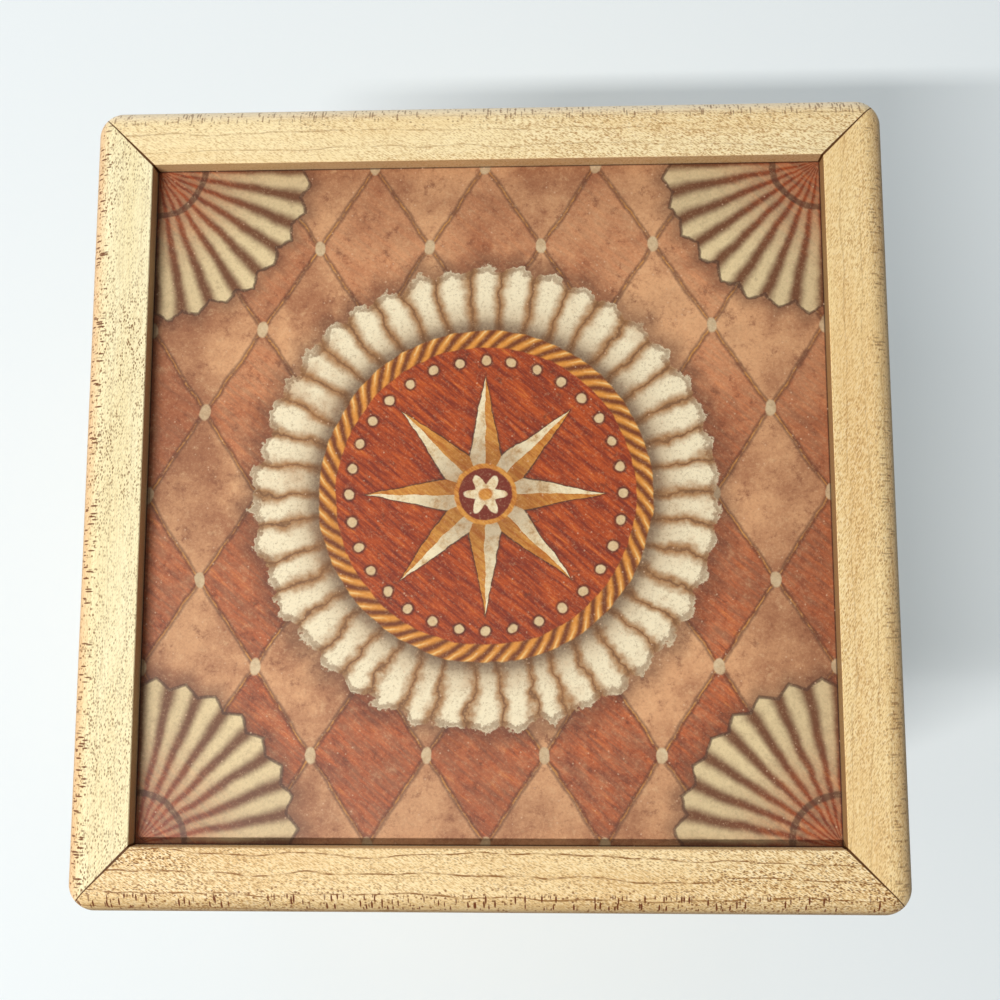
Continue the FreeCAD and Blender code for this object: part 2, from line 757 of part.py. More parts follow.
def bell(place, way):
    """A jingle bell hung by a short neck from a point's tip, with a sound slot across its far side."""
    centre = place + way * (bell_radius + bell_neck_length)
    ball = Part.makeSphere(bell_radius, centre)
    neck = rod(bell_neck_radius, place, way, bell_radius)
    solid = ball.fuse(neck).removeSplitter()
    across = way.cross(V(0, 1, 0) if abs(way.y) < 0.5 else V(1, 0, 0)).normalize()
    side = way.cross(across)
    corner = centre - across * (2 * bell_radius) - side * (bell_slot / 2)
    slot = Part.Face(Part.makePolygon([
        corner,
        corner + across * (4 * bell_radius),
        corner + across * (4 * bell_radius) + side * bell_slot,
        corner + side * bell_slot,
        corner,
    ])).extrude(way * (2 * bell_radius))
    return solid.cut(slot)


def hat_set():
    """The jester's cap, made upright on the head and then pushed back."""
    parts = {}
    outer = Part.makeSphere(hat_outer_radius, head_centre)
    inner = Part.makeSphere(hat_inner_radius, head_centre)
    level = head_z + hat_level
    below = square_prism(4 * hat_outer_radius, head_z - 2 * hat_outer_radius, level)
    parts["hat_crown"] = tilt_hat(outer.cut(inner).cut(below))

    rim = math.sqrt(hat_outer_radius**2 - hat_level**2)
    band = Part.makeTorus(rim + band_out, band_radius, V(0, 0, level), UP)
    parts["hat_band"] = tilt_hat(band.cut(outer))

    centre_up = head_z + point_arc_up
    bells = []
    points = (("right", 0, side_point_angle), ("back", 90, back_point_angle), ("left", 180, side_point_angle))
    taper = (0.0, 0.18, 0.35, 0.6, 0.8, 1.0)
    for name, azimuth, end_angle in points:
        angles = [point_root_angle + (end_angle - point_root_angle) * t for t in taper]
        radii = [point_root_radius + (point_tip_radius - point_root_radius) * t for t in taper]
        limb = stuffed_limb(point_arc_out, centre_up, point_arc_radius, angles, radii, azimuth)
        parts[f"hat_point_{name}"] = tilt_hat(limb.cut(outer))
        tip, way = limb_end(point_arc_out, centre_up, point_arc_radius, end_angle, azimuth)
        bells.append(tilt_hat(bell(tip, way)))
    parts["hat_bells"] = Part.makeCompound(bells)
    return parts


# Jack's ruff, gown, arms and hands


def ruff():
    """A pleated collar: flat triangles between an inner and an outer zigzag, as thick as folded cloth."""
    inner_radius = neck_radius + ruff_neck_gap
    middle = shoulder_top + ruff_height
    count = 2 * ruff_pleats

    def ring(radius, wave, lift):
        points = []
        for i in range(count):
            a = 2 * math.pi * i / count
            z = middle + lift + (wave if i % 2 == 0 else -wave)
            points.append(V(radius * math.cos(a), radius * math.sin(a), z))
        return points

    half = ruff_thickness / 2
    low_in, high_in = ring(inner_radius, ruff_wave_inner, -half), ring(inner_radius, ruff_wave_inner, half)
    low_out, high_out = ring(ruff_radius, ruff_wave_outer, -half), ring(ruff_radius, ruff_wave_outer, half)
    faces = []
    for i in range(count):
        j = (i + 1) % count
        for a, b in ((high_in, high_out), (high_out, low_out), (low_out, low_in), (low_in, high_in)):
            faces.append(Part.Face(Part.makePolygon([a[i], b[i], b[j], a[i]])))
            faces.append(Part.Face(Part.makePolygon([a[i], b[j], a[j], a[i]])))
    return Part.makeSolid(Part.makeShell(faces))


def gown():
    """The cloth sleeve round the spring, gathered into puffs: one turned wall of arcs, open at both ends."""
    puff_height = (shoulder_bottom - base_top) / gown_puffs
    foot_radius_in = base_radius - gown_bottom_inset - gown_wall
    top_radius_in = shoulder_radius - gown_top_inset - gown_wall

    def pinch(i):
        if i == 0:
            return foot_radius_in
        return top_radius_in if i == gown_puffs else gown_pinch_radius

    def wall(thickness):
        arcs = []
        for i in range(gown_puffs):
            z0 = base_top + i * puff_height
            a = V(pinch(i) + thickness, 0, z0)
            b = V(pinch(i + 1) + thickness, 0, z0 + puff_height)
            depth = gown_end_depth if i in (0, gown_puffs - 1) else gown_puff_depth
            crown = (a.x + b.x) / 2 + depth
            arcs.append(Part.Arc(a, V(crown, 0, z0 + puff_height / 2), b).toShape())
        return arcs

    inside, outside = wall(0), wall(gown_wall)
    foot = Part.makeLine(V(pinch(0), 0, base_top), V(pinch(0) + gown_wall, 0, base_top))
    top_edge = pinch(gown_puffs)
    top = Part.makeLine(V(top_edge, 0, shoulder_bottom), V(top_edge + gown_wall, 0, shoulder_bottom))
    outline = Part.Wire(Part.__sortEdges__(inside + [foot] + outside + [top]))
    return Part.Face(outline).revolve(V(0, 0, 0), UP, 360)


def arm_set():
    """Two stuffed arms that hang from the shoulder disc, each with a wooden hand."""
    parts = {}
    shoulder = rod(shoulder_radius, V(0, 0, shoulder_bottom), UP, shoulder_thickness)
    gown_out = gown_pinch_radius + gown_wall + gown_puff_depth
    sleeve = rod(gown_out + arm_gown_gap, V(0, 0, base_top), UP, shoulder_bottom - base_top)
    centre_up = shoulder_bottom - arm_arc_drop
    shares = (0.0, 0.35, 0.7, 1.0)
    swells = (0.0, arm_swell, arm_swell, 0.0)
    for name, azimuth in (("left", 180), ("right", 0)):
        angles = [arm_start_angle + (arm_end_angle - arm_start_angle) * t for t in shares]
        radii = [arm_shoulder_radius + (arm_wrist_radius - arm_shoulder_radius) * t + s
                 for t, s in zip(shares, swells)]
        limb = stuffed_limb(arm_arc_out, centre_up, arm_arc_radius, angles, radii, azimuth)
        parts[f"arm_{name}"] = limb.cut(shoulder).cut(sleeve)
        wrist, way = limb_end(arm_arc_out, centre_up, arm_arc_radius, arm_end_angle, azimuth)
        ball = Part.makeSphere(hand_radius, wrist + way * (hand_radius - hand_sink))
        behind = Part.makeCylinder(2 * hand_radius, 2 * hand_radius, wrist, way * -1)
        parts[f"hand_{name}"] = ball.cut(behind)
    return parts


def make():
    """Every node of the toy, by name."""
    hinges, back_wall_cuts, back_rail_cuts = hinge_set()
    catch, front_wall_cuts, front_rail_cuts = catch_set()
    nodes = {}
    for group in (
        lid_set(back_rail_cuts, front_rail_cuts),
        box_set(back_wall_cuts, front_wall_cuts),
        hinges,
        catch,
        spring_set(),
        head_set(),
        hat_set(),
        {"ruff": ruff(), "gown": gown()},
        arm_set(),
    ):
        nodes.update(group)
    return nodes


os.makedirs("parts", exist_ok=True)
for node_name, shape in make().items():
    solids = shape.Solids
    sound = all(s.isValid() and s.Volume > 0 for s in solids)
    volume = sum(s.Volume for s in solids)
    print(f"{node_name}: {len(solids)} solid(s), {volume:.1f} mm3{'' if sound else ' UNSOUND'}")
    Part.makeCompound(solids).exportStep(f"parts/{node_name}.step")
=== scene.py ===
"""Looks of a jack in the box: a maple box, a framed printed lid, brass fittings and a cloth jester."""

import json
import math

import bmesh
import bpy
import numpy as np
from mathutils import Matrix, Quaternion, Vector


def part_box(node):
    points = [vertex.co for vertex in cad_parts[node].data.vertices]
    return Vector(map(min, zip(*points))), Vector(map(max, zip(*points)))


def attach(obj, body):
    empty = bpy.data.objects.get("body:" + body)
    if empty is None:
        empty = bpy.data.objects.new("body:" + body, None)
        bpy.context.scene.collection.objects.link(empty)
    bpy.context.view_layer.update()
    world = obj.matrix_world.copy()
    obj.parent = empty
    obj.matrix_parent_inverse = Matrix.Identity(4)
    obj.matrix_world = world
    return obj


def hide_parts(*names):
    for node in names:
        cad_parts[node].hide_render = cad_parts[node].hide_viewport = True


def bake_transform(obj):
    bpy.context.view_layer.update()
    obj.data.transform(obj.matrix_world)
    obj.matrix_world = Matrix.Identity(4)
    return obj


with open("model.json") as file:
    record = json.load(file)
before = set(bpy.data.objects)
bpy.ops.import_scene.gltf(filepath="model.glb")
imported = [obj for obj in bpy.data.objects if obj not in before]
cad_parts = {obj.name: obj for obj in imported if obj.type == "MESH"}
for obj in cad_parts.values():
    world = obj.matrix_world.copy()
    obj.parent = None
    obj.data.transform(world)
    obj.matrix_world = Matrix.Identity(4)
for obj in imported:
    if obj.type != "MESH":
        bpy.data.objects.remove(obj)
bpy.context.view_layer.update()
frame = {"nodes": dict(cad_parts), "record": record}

# Viewpoint: nearly straight down on the lid, from a little in front of it and to its right.
# The turn is a rotation vector in degrees, from the part's axes to the camera's.
MM = 0.001
lid_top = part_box("lid_rail_front")[1].z
view_place = Vector((14.4, -40.2, 282.1)) * MM + Vector((0, 0, lid_top))
view_turn = Vector((-7.72, -2.23, 0.20))
view_lens, view_sensor = 46.68, 36


def set_out(name, data):
    """A new object in the scene, at the origin."""
    thing = bpy.data.objects.new(name, data)
    bpy.context.scene.collection.objects.link(thing)
    return thing


camera = set_out("camera", bpy.data.cameras.new("camera"))
camera.data.sensor_width = view_sensor
camera.data.lens = view_lens
camera.data.clip_start = 10 * MM
view_rotation = Quaternion(view_turn.normalized(), math.radians(view_turn.length)).to_matrix().transposed()
camera.matrix_world = Matrix.Translation(view_place) @ view_rotation.to_4x4()
bpy.context.scene.camera = camera
bpy.context.scene.view_settings.view_transform = "Standard"

# Box walls and lid rails: planed maple, oiled, with the grain along each board and a tone for each rail.
# Flecks are flat rays: dashes on the broad faces, and ticks where a rail's edge is rounded over.
# The boards meet in glued mitres, which show as fine dark lines.


class Term:
    """A shader socket that works in sums like a number: each operator adds one Math node."""

    def __init__(self, wiring, socket):
        self.wiring = wiring
        self.socket = socket

    def math(self, operation, *others):
        """A Math node on this value and then the others."""
        return self.wiring.math(operation, self, *others)

    def __add__(self, other):
        return self.math("ADD", other)

    def __sub__(self, other):
        return self.math("SUBTRACT", other)

    def __rsub__(self, other):
        return self.wiring.math("SUBTRACT", other, self)

    def __mul__(self, other):
        return self.math("MULTIPLY", other)

    def __truediv__(self, other):
        return self.math("DIVIDE", other)

    def __rtruediv__(self, other):
        return self.wiring.math("DIVIDE", other, self)

    def __abs__(self):
        return self.math("ABSOLUTE")

    __radd__ = __add__
    __rmul__ = __mul__

    def square(self):
        return self * self

    def zigzag(self, limit=0.5):
        """Runs up from 0 to a limit and down again, over and over."""
        return self.math("PINGPONG", limit)

    def smooth(self, low, high):
        """Rises from 0 to 1 between two values, and falls where the first is the larger."""
        limits = {"Value": self, "From Min": low, "From Max": high}
        return self.wiring.node("ShaderNodeMapRange", {"interpolation_type": "SMOOTHSTEP"}, limits)[0]


class Wiring:
    """A tree of shader nodes and the one way to add to it."""

    def __init__(self, tree):
        self.tree = tree

    def node(self, kind, settings, sockets):
        """Adds a node: its settings first, then a value or a link for each socket, by name or in order."""
        made = self.tree.nodes.new(kind)
        for setting, value in settings.items():
            setattr(made, setting, value)
        pairs = sockets.items() if isinstance(sockets, dict) else enumerate(sockets)
        for socket, value in pairs:
            if isinstance(value, Term):
                self.tree.links.new(value.socket, made.inputs[socket])
            else:
                made.inputs[socket].default_value = value
        return [Term(self, output) for output in made.outputs]

    def math(self, operation, *values):
        return self.node("ShaderNodeMath", {"operation": operation}, values)[0]


class Finish(Wiring):
    """A material and the nodes that make its look, on the piece's own coordinates in millimetres."""

    def __init__(self, name, **plain):
        self.material = bpy.data.materials.new(name)
        self.material.use_nodes = True
        super().__init__(self.material.node_tree)
        self.shader = self.tree.nodes["Principled BSDF"]
        for socket, value in plain.items():
            self.shader.inputs[socket.replace("_", " ")].default_value = value

    def place(self, shift=(0, 0, 0), turn=0.0):
        """The point on the piece, in millimetres, shifted and turned about Z in degrees."""
        values = {
            "Vector": self.node("ShaderNodeTexCoord", {}, {})[3],
            "Location": shift,
            "Rotation": (0, 0, math.radians(turn)),
            "Scale": (1 / MM,) * 3,
        }
        return self.node("ShaderNodeMapping", {}, values)[0]

    def split(self, vector):
        return self.node("ShaderNodeSeparateXYZ", {}, [vector])

    def stretch(self, vector, sizes):
        """Scales a point so that one unit is a given length along each axis, or one length along all."""
        factors = tuple(1 / size for size in np.broadcast_to(sizes, 3))
        return self.node("ShaderNodeVectorMath", {"operation": "MULTIPLY"}, [vector, factors])[0]

    def noise(self, point, sizes, detail=2.0, roughness=0.5):
        """Cloudy noise, with the sizes of its clouds in millimetres."""
        cloud = {"Scale": 1.0, "Detail": detail, "Roughness": roughness}
        values = {"Vector": self.stretch(point, sizes), **cloud}
        return self.node("ShaderNodeTexNoise", {}, values)[0]

    def cells(self, point, sizes):
        """Distance to the nearest of many scattered points, and a number that is random for each."""
        made = self.node("ShaderNodeTexVoronoi", {}, {"Vector": self.stretch(point, sizes), "Scale": 1.0})
        return made[0], self.split(made[1])[0]

    def mix(self, factor, first, second):
        """Blends two colours, each a link or a code for paint."""
        tones = [paint(tone) if isinstance(tone, str) else tone for tone in (first, second)]
        return self.node("ShaderNodeMix", {"data_type": "RGBA"}, {0: factor, 6: tones[0], 7: tones[1]})[2]

    def coats(self, colour, *layers):
        """Lays colours over a first one in order, each with the share of it that covers what is below."""
        for share, tone in layers:
            colour = self.mix(share, colour, tone)
        return colour

    def bump(self, height, depth, strength):
        """Bump from a height of 0 to 1 that stands for a depth in millimetres."""
        values = {"Strength": strength, "Distance": depth * MM, "Height": height}
        return self.node("ShaderNodeBump", {}, values)[0]

    def put(self, **sockets):
        for socket, value in sockets.items():
            self.tree.links.new(value.socket, self.shader.inputs[socket.replace("_", " ")])
        return self.material


def paint(code):
    """A colour written as red, green and blue in hexadecimal, as the shader's linear values."""
    parts = [int(code[i:i + 2], 16) / 255 for i in (1, 3, 5)]
    return tuple(((c + 0.055) / 1.055) ** 2.4 if c > 0.04045 else c / 12.92 for c in parts) + (1.0,)


def dress(material, *names):
    """Gives CAD nodes their finish."""
    for name in names:
        slots = frame["nodes"][name].data.materials
        slots.clear()
        slots.append(material)


rail_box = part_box("lid_rail_front")
lid_half, sight, rail_top = -rail_box[0].y / MM, -rail_box[1].y / MM, lid_top / MM


def rail_marks(wood, base, point, out, top, fleck, lip, edge):
    """Coarse flecks and ticks on a rail's rounded edge, and painted shading on that edge, its rim and lip.
    """
    painted_lip_shade_tone, painted_lip_shade_share = lip
    painted_edge_shading_tone, painted_edge_shading_share, painted_rim_shade_share = edge
    inset = lid_half - out
    large, large_lot = wood.cells(point, (1.0, 0.85, 5))
    coarse = large.smooth(0.36, 0.2) * large_lot.smooth(0.45, 0.55) * inset.smooth(9.0, 4.0) * top
    tick, tick_lot = wood.cells(point, (0.62, 3.2, 3.2))
    group = wood.noise(point, (7, 40, 40), 1.0).smooth(0.36, 0.46)
    band = inset.smooth(0.7, 1.4) * inset.smooth(4.9, 3.9)
    ticks = tick.smooth(0.4, 0.28) * tick_lot.smooth(0.2, 0.3) * group * band
    base = wood.coats(
        base,
        # Painted light and shade on the rounded edge, darker or paler for each rail as the lamps fall on it.
        (inset.smooth(4.4, 0.8) * top * painted_edge_shading_share, painted_edge_shading_tone),
        (coarse * (0.25 + 0.65 * fleck), "#7A4C20"),
        (ticks * (0.15 + 0.85 * fleck), "#663210"),
        # Painted shade in a thin band along the outer rim of the rounded edge.
        (inset.smooth(1.5, 0.0) * top * painted_rim_shade_share, "#6B5028"),
        # Painted shade on the lip, the frame's inner face, stronger on some rails than on others.
        (out.smooth(sight + 0.08, sight + 0.02) * painted_lip_shade_share, painted_lip_shade_tone),
    )
    return base, ticks


def maple(name, turn, shift, tones, fleck, shine=0.36, lip=None, edge=None):
    """Oiled maple with its grain along X or Y. A rail's broad face looks up, and its lip is darkened with
    painted shade.
    """
    wood = Finish(name, Specular_IOR_Level=0.22)
    rail = lip is not None
    point = wood.place(shift, turn)
    along, across, up = wood.split(point)
    level, side = (across, up) if rail else (up, across)
    drift = wood.noise(point, (110, 34, 34))
    ripple = wood.noise(point, (15, 9, 9))
    tone = wood.noise(point, (60, 9, 9), 3.0)
    fibre = wood.noise(point, (7, 0.26, 0.26), 2.0, 0.6)
    silk = wood.noise(wood.place(shift, turn + 28), (1.0, 0.26, 0.26), 2.0, 0.6)

    ring_width, ring_sway, ring_line = (4.1, 8, (0.06, 0.012)) if rail else (9.0, 26, (0.035, 0.0))
    ring = (level + side * 0.35 + along * 0.022 + drift * ring_sway + ripple * 3.2) / ring_width
    broken = wood.noise(point, (3, 0.9, 0.9)).smooth(0.36, 0.58)
    growth = ring.zigzag().smooth(*ring_line) * (broken * 0.8 + 0.2)

    speck, lot = wood.cells(point, (0.78, 0.36, 4) if rail else (1.3, 4, 0.5))
    rows = wood.noise(point, (9, 1.5, 1.5)).smooth(0.32, 0.6)
    patch = wood.noise(point, (45, 30, 30), 1.0).smooth(0.35, 0.6)
    dashes = speck.smooth(0.5, 0.25) * lot.smooth(0.1, 0.3) * (rows * 0.75 + 0.25) * (patch * 0.5 + 0.5)
    x, y, z = wood.split(wood.place())
    joint = abs(abs(x) - abs(y))
    if rail:
        out = abs(x) if turn else abs(y)
        top = z.smooth(rail_top - 8.4, rail_top - 5.4)
        face = out.smooth(sight + 0.02, sight + 0.12)
        dashes = dashes * face * (top * 0.7 + 0.3)
        growth = growth * face * (top * 0.75 + 0.25)

    # The silk strokes follow the maple's figure, and their pale and dark tones are a painted sheen, as
    # strong as each rail's shine.
    painted_sheen_share = (patch * 0.45 + 0.55) * shine
    base = wood.coats(
        wood.mix(tone.smooth(0.3, 0.7), *tones),
        (fibre.smooth(0.35, 0.75) * 0.24, "#C08F50"),
        (silk.smooth(0.52, 0.3) * painted_sheen_share * 0.8, "#FFF2D0"),
        (silk.smooth(0.48, 0.68) * painted_sheen_share, "#A07036"),
        (growth * (shine ** 2 if rail else 0.55), "#8A5C28"),
        (dashes * (0.4 + 0.6 * fleck), "#74481C" if fleck > 0.7 else "#A8743A"),
    )
    mark = growth * 0.5 + dashes
    if rail:
        base, ticks = rail_marks(wood, base, point, out, top, fleck, lip, edge)
        joint = joint - out.smooth(88, 77) * 0.22
        mark = mark + ticks
    mitre = joint.smooth(0.26, 0.1)
    mark = mark + mitre
    return wood.put(
        Base_Color=wood.mix(mitre, base, "#54300A"),
        Roughness=0.42 + tone * 0.16 + mark * 0.1,
        Normal=wood.bump(fibre * 0.5 + silk - mark * 0.5, 0.06, 0.4),
    )


# A rail's row: the turn of its grain, a shift of the figure, its two tones, how flecked it is, its shine,
# which sets a painted sheen, the lip's painted shade and its share, and the rounded edge's painted shading,
# its share and the share of painted shade on the rim.
rails = {
    "front": (0, (13, 5, 2), ("#FBE0A9", "#EFCD92"), 1.0, 1.0, ("#A86528", 0.1), ("#96733F", 0.5, 0.8)),
    "back": (0, (-47, 31, 8), ("#FDEAB8", "#F7DDA6"), 0.5, 0.65, ("#9A5C1E", 0.5), ("#FBEACB", 0.8, 0.0)),
    "left": (90, (71, -12, 3), ("#FCF4CA", "#F6E9B8"), 0.9, 0.4, ("#9A5C1E", 0.6), ("#E0AC78", 0.7, 0.4)),
    "right": (
        90, (-23, 44, 15), ("#FBDFA4", "#F0CC8E"), 0.35, 0.55, ("#7A5024", 0.75), ("#DDAB78", 0.3, 0.6),
    ),
}
walls = {
    "front": (0, (120, 63, 40), ("#F2D59E", "#E6C48A")),
    "back": (0, (-150, 90, 21), ("#F2D59E", "#E6C48A")),
    "left": (90, (220, -60, 17), ("#F1D39B", "#E4C086")),
    "right": (90, (-260, 18, 33), ("#F1D39B", "#E4C086")),
}
wall_fleck = 0.4
for side, look in rails.items():
    dress(maple(f"maple_lid_rail_{side}", *look), f"lid_rail_{side}")
for side, look in walls.items():
    dress(maple(f"maple_{side}_wall", *look, wall_fleck), f"{side}_wall")
dress(maple("maple_beads", 0, (300, 12, 5), ("#E8C68C", "#D6AC6E"), wall_fleck), "retaining_beads")


# Floor and light: a round of white paper, which fades into the sky far out, and three lamps.
# A long ceiling lamp hangs in front and to the left, and two soft windows are to the left and behind.
# They stand for the room and aren't part of the toy.
def reach(x, y):
    """Distance of a point from where both are 0."""
    return (x.square() + y.square()).math("SQRT")


sky_seen = (0.9, 0.94, 0.96, 1)
paper_radius, fade_from, fade_to = 1.1, 350, 950
paper = Finish("white_paper", Roughness=0.8, Base_Color=paint("#EFF4F7"))
paper_x, paper_y, _ = paper.split(paper.place())
paper_far = reach(paper_x, paper_y).smooth(fade_from, fade_to)
paper_seen = paper.node("ShaderNodeLightPath", {}, {})[0] * (0.4 + paper_far * 0.6)
paper_glow = paper.node("ShaderNodeEmission", {}, [paper.mix(paper_far, "#E2ECEF", sky_seen)])[0]
paper_plain = Term(paper, paper.shader.outputs[0])
paper_look = paper.node("ShaderNodeMixShader", {}, [paper_seen, paper_plain, paper_glow])[0]
paper.tree.links.new(paper_look.socket, paper.tree.nodes["Material Output"].inputs["Surface"])
floor_disc = bmesh.new()
bmesh.ops.create_circle(floor_disc, cap_ends=True, segments=96, radius=paper_radius)
floor = set_out("floor", bpy.data.meshes.new("floor"))
floor_disc.to_mesh(floor.data)
floor_disc.free()
floor.data.materials.append(paper.material)


def lamp(name, place, tilt, size, power, colour):
    """A lamp of a width along X and a depth that shines down, tilted about X and Y in degrees."""
    light = bpy.data.lights.new(name, "AREA")
    light.shape = "RECTANGLE"
    light.size, light.size_y = size
    light.energy = power
    light.color = colour
    hung = set_out(name, light)
    hung.location = Vector(place) + Vector((0, 0, lid_top))
    hung.rotation_euler = (math.radians(tilt[0]), math.radians(tilt[1]), 0)
    hung.visible_camera = False


lamp("ceiling_lamp", (-0.68, -0.58, 1.3), (23, 0), (0.8, 0.06), 26.0, (1.0, 0.98, 0.95))
lamp("near_window", (-0.5, 0.05, 0.55), (0, -42), (0.4, 0.4), 0.9, (1.0, 0.99, 0.97))
lamp("far_window", (-0.2, 1.2, 0.25), (-78, 0), (1.2, 0.5), 4.6, (0.97, 0.99, 1.0))
world = bpy.data.worlds.new("room")
world.use_nodes = True
world.node_tree.nodes.clear()
room = Wiring(world.node_tree)
ray = {term.socket.name: term for term in room.node("ShaderNodeLightPath", {}, {})}
ray_seen = ray["Is Camera Ray"].math("MAXIMUM", ray["Is Glossy Ray"])
ray_seen = ray_seen.math("MAXIMUM", ray["Is Transmission Ray"])
sky_light = room.node("ShaderNodeBackground", {}, [(0.9, 0.96, 1.0, 1), 0.11])[0]
sky_shown = room.node("ShaderNodeBackground", {}, [sky_seen, 1.0])[0]
sky = room.node("ShaderNodeMixShader", {}, [ray_seen, sky_light, sky_shown])[0]
room.node("ShaderNodeOutputWorld", {}, [sky])
bpy.context.scene.world = world


# Picture panel: a varnished print on board, in aged rust, gold and cream on a mottled ground.
# A mariner's star in a pleated rosette lies over worn harlequin lozenges, with a fan in each corner.
# Its edges are ragged and stained as on an old hand coloured sheet.
def lozenge_net(u, v, wide, tall):
    """1 in every other lozenge of a net, and how near the two seams are that cross there."""
    slants = (u / wide + v / tall, u / wide - v / tall)
    first, second = [slant.math("FLOOR") for slant in slants]
    return (first + second).zigzag(1.0), [slant.zigzag() for slant in slants]


class Print(Finish):
    """An aged sheet, in millimetres from its middle. Each method prints a motif over the colour so far."""

    def __init__(self, name, **plain):
        super().__init__(name, **plain)
        self.point = self.place()
        self.true_x, self.true_y, _ = self.split(self.point)
        self.wander = self.noise(self.point, 7, 4.0, 0.62) - 0.5
        self.sway = self.noise(self.place((50, 20, 0)), 9, 4.0, 0.62) - 0.5
        self.x = self.true_x + self.wander * 1.7
        self.y = self.true_y + self.sway * 1.7
        self.radius = reach(self.x, self.y)
        self.angle = self.y.math("ARCTAN2", self.x)
        self.cloud = self.noise(self.point, 24, 6.0, 0.66)
        self.fleck = self.noise(self.point, 2.6, 5.0, 0.72)
        self.brush = self.noise(self.place((9, 4, 0), 40), (7, 0.9, 5), 4.0, 0.62)
        self.grit = self.noise(self.point, 0.55, 3.0, 0.7)
        self.red = self.coats(
            self.mix(self.brush.smooth(0.32, 0.68), "#74250F", "#B74F1D"),
            (self.brush.smooth(0.6, 0.78) * 0.6, "#DF8A3A"),
            (self.fleck.smooth(0.55, 0.75) * 0.6, "#42170C"),
        )
        self.bone = self.mix(self.fleck.smooth(0.4, 0.75), "#EFE0BA", "#C49B64")
        self.gold = self.mix(self.brush.smooth(0.3, 0.7), "#B0651F", "#DA9A45")

    def ground(self):
        """Mottled tan paper."""
        return self.coats(
            self.mix(self.cloud.smooth(0.34, 0.66), "#A26A48", "#E0A97A"),
            (self.fleck.smooth(0.5, 0.72) * 0.6, "#7E452A"),
            (self.fleck.smooth(0.46, 0.26) * 0.5, "#E6B98B"),
        )

    def lozenges(self, colour):
        """Worn red lozenges, with dark seams, a gold thread along them and a pearl where they cross."""
        wide, tall = 25.5, 38.25
        odd, near = lozenge_net(self.x, self.y, wide, tall)
        rubbed = self.cloud.smooth(0.3, 0.55) * 0.6 + self.fleck.smooth(0.3, 0.6) * 0.3
        worn = rubbed * self.y.smooth(80, -40)
        seam = near[0].math("MINIMUM", near[1])
        pearl = (near[0].square() + near[1].square()).smooth(0.006, 0.003)
        return self.coats(
            colour,
            (odd * (worn * 0.7 + 0.2), self.red),
            (seam.smooth(0.045, 0.015) * 0.6, "#4E2A1B"),
            (seam.smooth(0.012, 0.004) * self.fleck.smooth(0.6, 0.4) * 0.8, "#C98B45"),
            (pearl, self.mix(self.fleck, "#F0DEB6", "#A87A4E")),
        )

    def fans(self, colour):
        """A pleated fan in each corner, red at its root."""
        size, ribs, collar = 36.0, 16, 11
        side_x, side_y = sight - abs(self.x), sight - abs(self.y)
        corner = reach(side_x, side_y)
        rib = (side_y.math("ARCTAN2", side_x) * (ribs / math.pi)).zigzag()
        inside = size - 4.0 * (0.5 - rib) + self.sway * 3 - corner
        blade = self.mix(rib.smooth(0.05, 0.42) * (0.5 + self.fleck), "#6B4226", "#E2CB9C")
        blade = self.mix((corner / size).smooth(0.8, 0.1) * 0.8, blade, self.red)
        line = abs(inside).smooth(0.6, 0.2) + abs(corner - collar).smooth(1.0, 0.5)
        return self.coats(
            colour,
            ((inside + 2.5).smooth(-2.5, 2.5) * 0.5, "#4A2A1C"),
            (inside.smooth(-0.3, 0.3), blade),
            (line * 0.75, "#43291A"),
        )

    def rosette(self, colour):
        """A ring of cream pleats with a frayed edge and a soft shadow."""
        size, pleats = 51.0, 42
        pleat = (self.angle * (pleats / math.tau) + self.wander * 0.9).zigzag()
        inside = size + pleat * 3.2 + (self.fleck - 0.5) * 4.5 + self.wander * 5 - self.radius
        cream = self.coats(
            self.mix(pleat.smooth(0.03, 0.36), "#A5794E", "#EFE1BF"),
            (pleat.smooth(0.07, 0.0) * 0.75, "#5E3A22"),
            (self.grit.smooth(0.5, 0.75) * 0.35, "#B08A5C"),
            ((self.radius / size).smooth(0.92, 0.68) * 0.75, "#8E6238"),
            (self.cloud.smooth(0.52, 0.72) * 0.45, "#B9824C"),
        )
        return self.coats(
            colour,
            ((inside + 3).smooth(-3.5, 3.5) * 0.6, "#4A2517"),
            (inside.smooth(-0.3, 0.3), cream),
            (abs(inside - 0.8).smooth(0.9, 0.3) * 0.6, "#7A5230"),
        )

    def field(self, colour):
        """A round red field inside a twisted gold cord, with a ring of cream beads."""
        size, strands = 35.5, 60
        bead_ring, beads = 30.6, 32
        off = self.radius - size
        strand = (self.angle * (strands / math.tau) + off * 0.3).zigzag()
        cord = self.mix(strand.smooth(0.05, 0.45), "#6E3512", "#D98F3C")
        cord = self.mix(strand.smooth(0.36, 0.5) * off.smooth(-1.0, 1.4) * 0.7, cord, "#F3D08A")
        bead_side = (self.angle * (beads / math.tau)).zigzag() * (math.tau * bead_ring / beads)
        bead = bead_side.square() + (self.radius - bead_ring).square()
        return self.coats(
            colour,
            (abs(off).smooth(6, 2) * 0.6, "#3A1C10"),
            ((size - self.radius).smooth(-0.3, 0.3), self.red),
            (abs(off).smooth(2.1, 1.7), cord),
            (bead.smooth(3.4, 1.6) * 0.7, "#3A160B"),
            (bead.smooth(1.5, 0.7), self.mix(self.fleck, "#F0DDB2", "#B5854F")),
        )

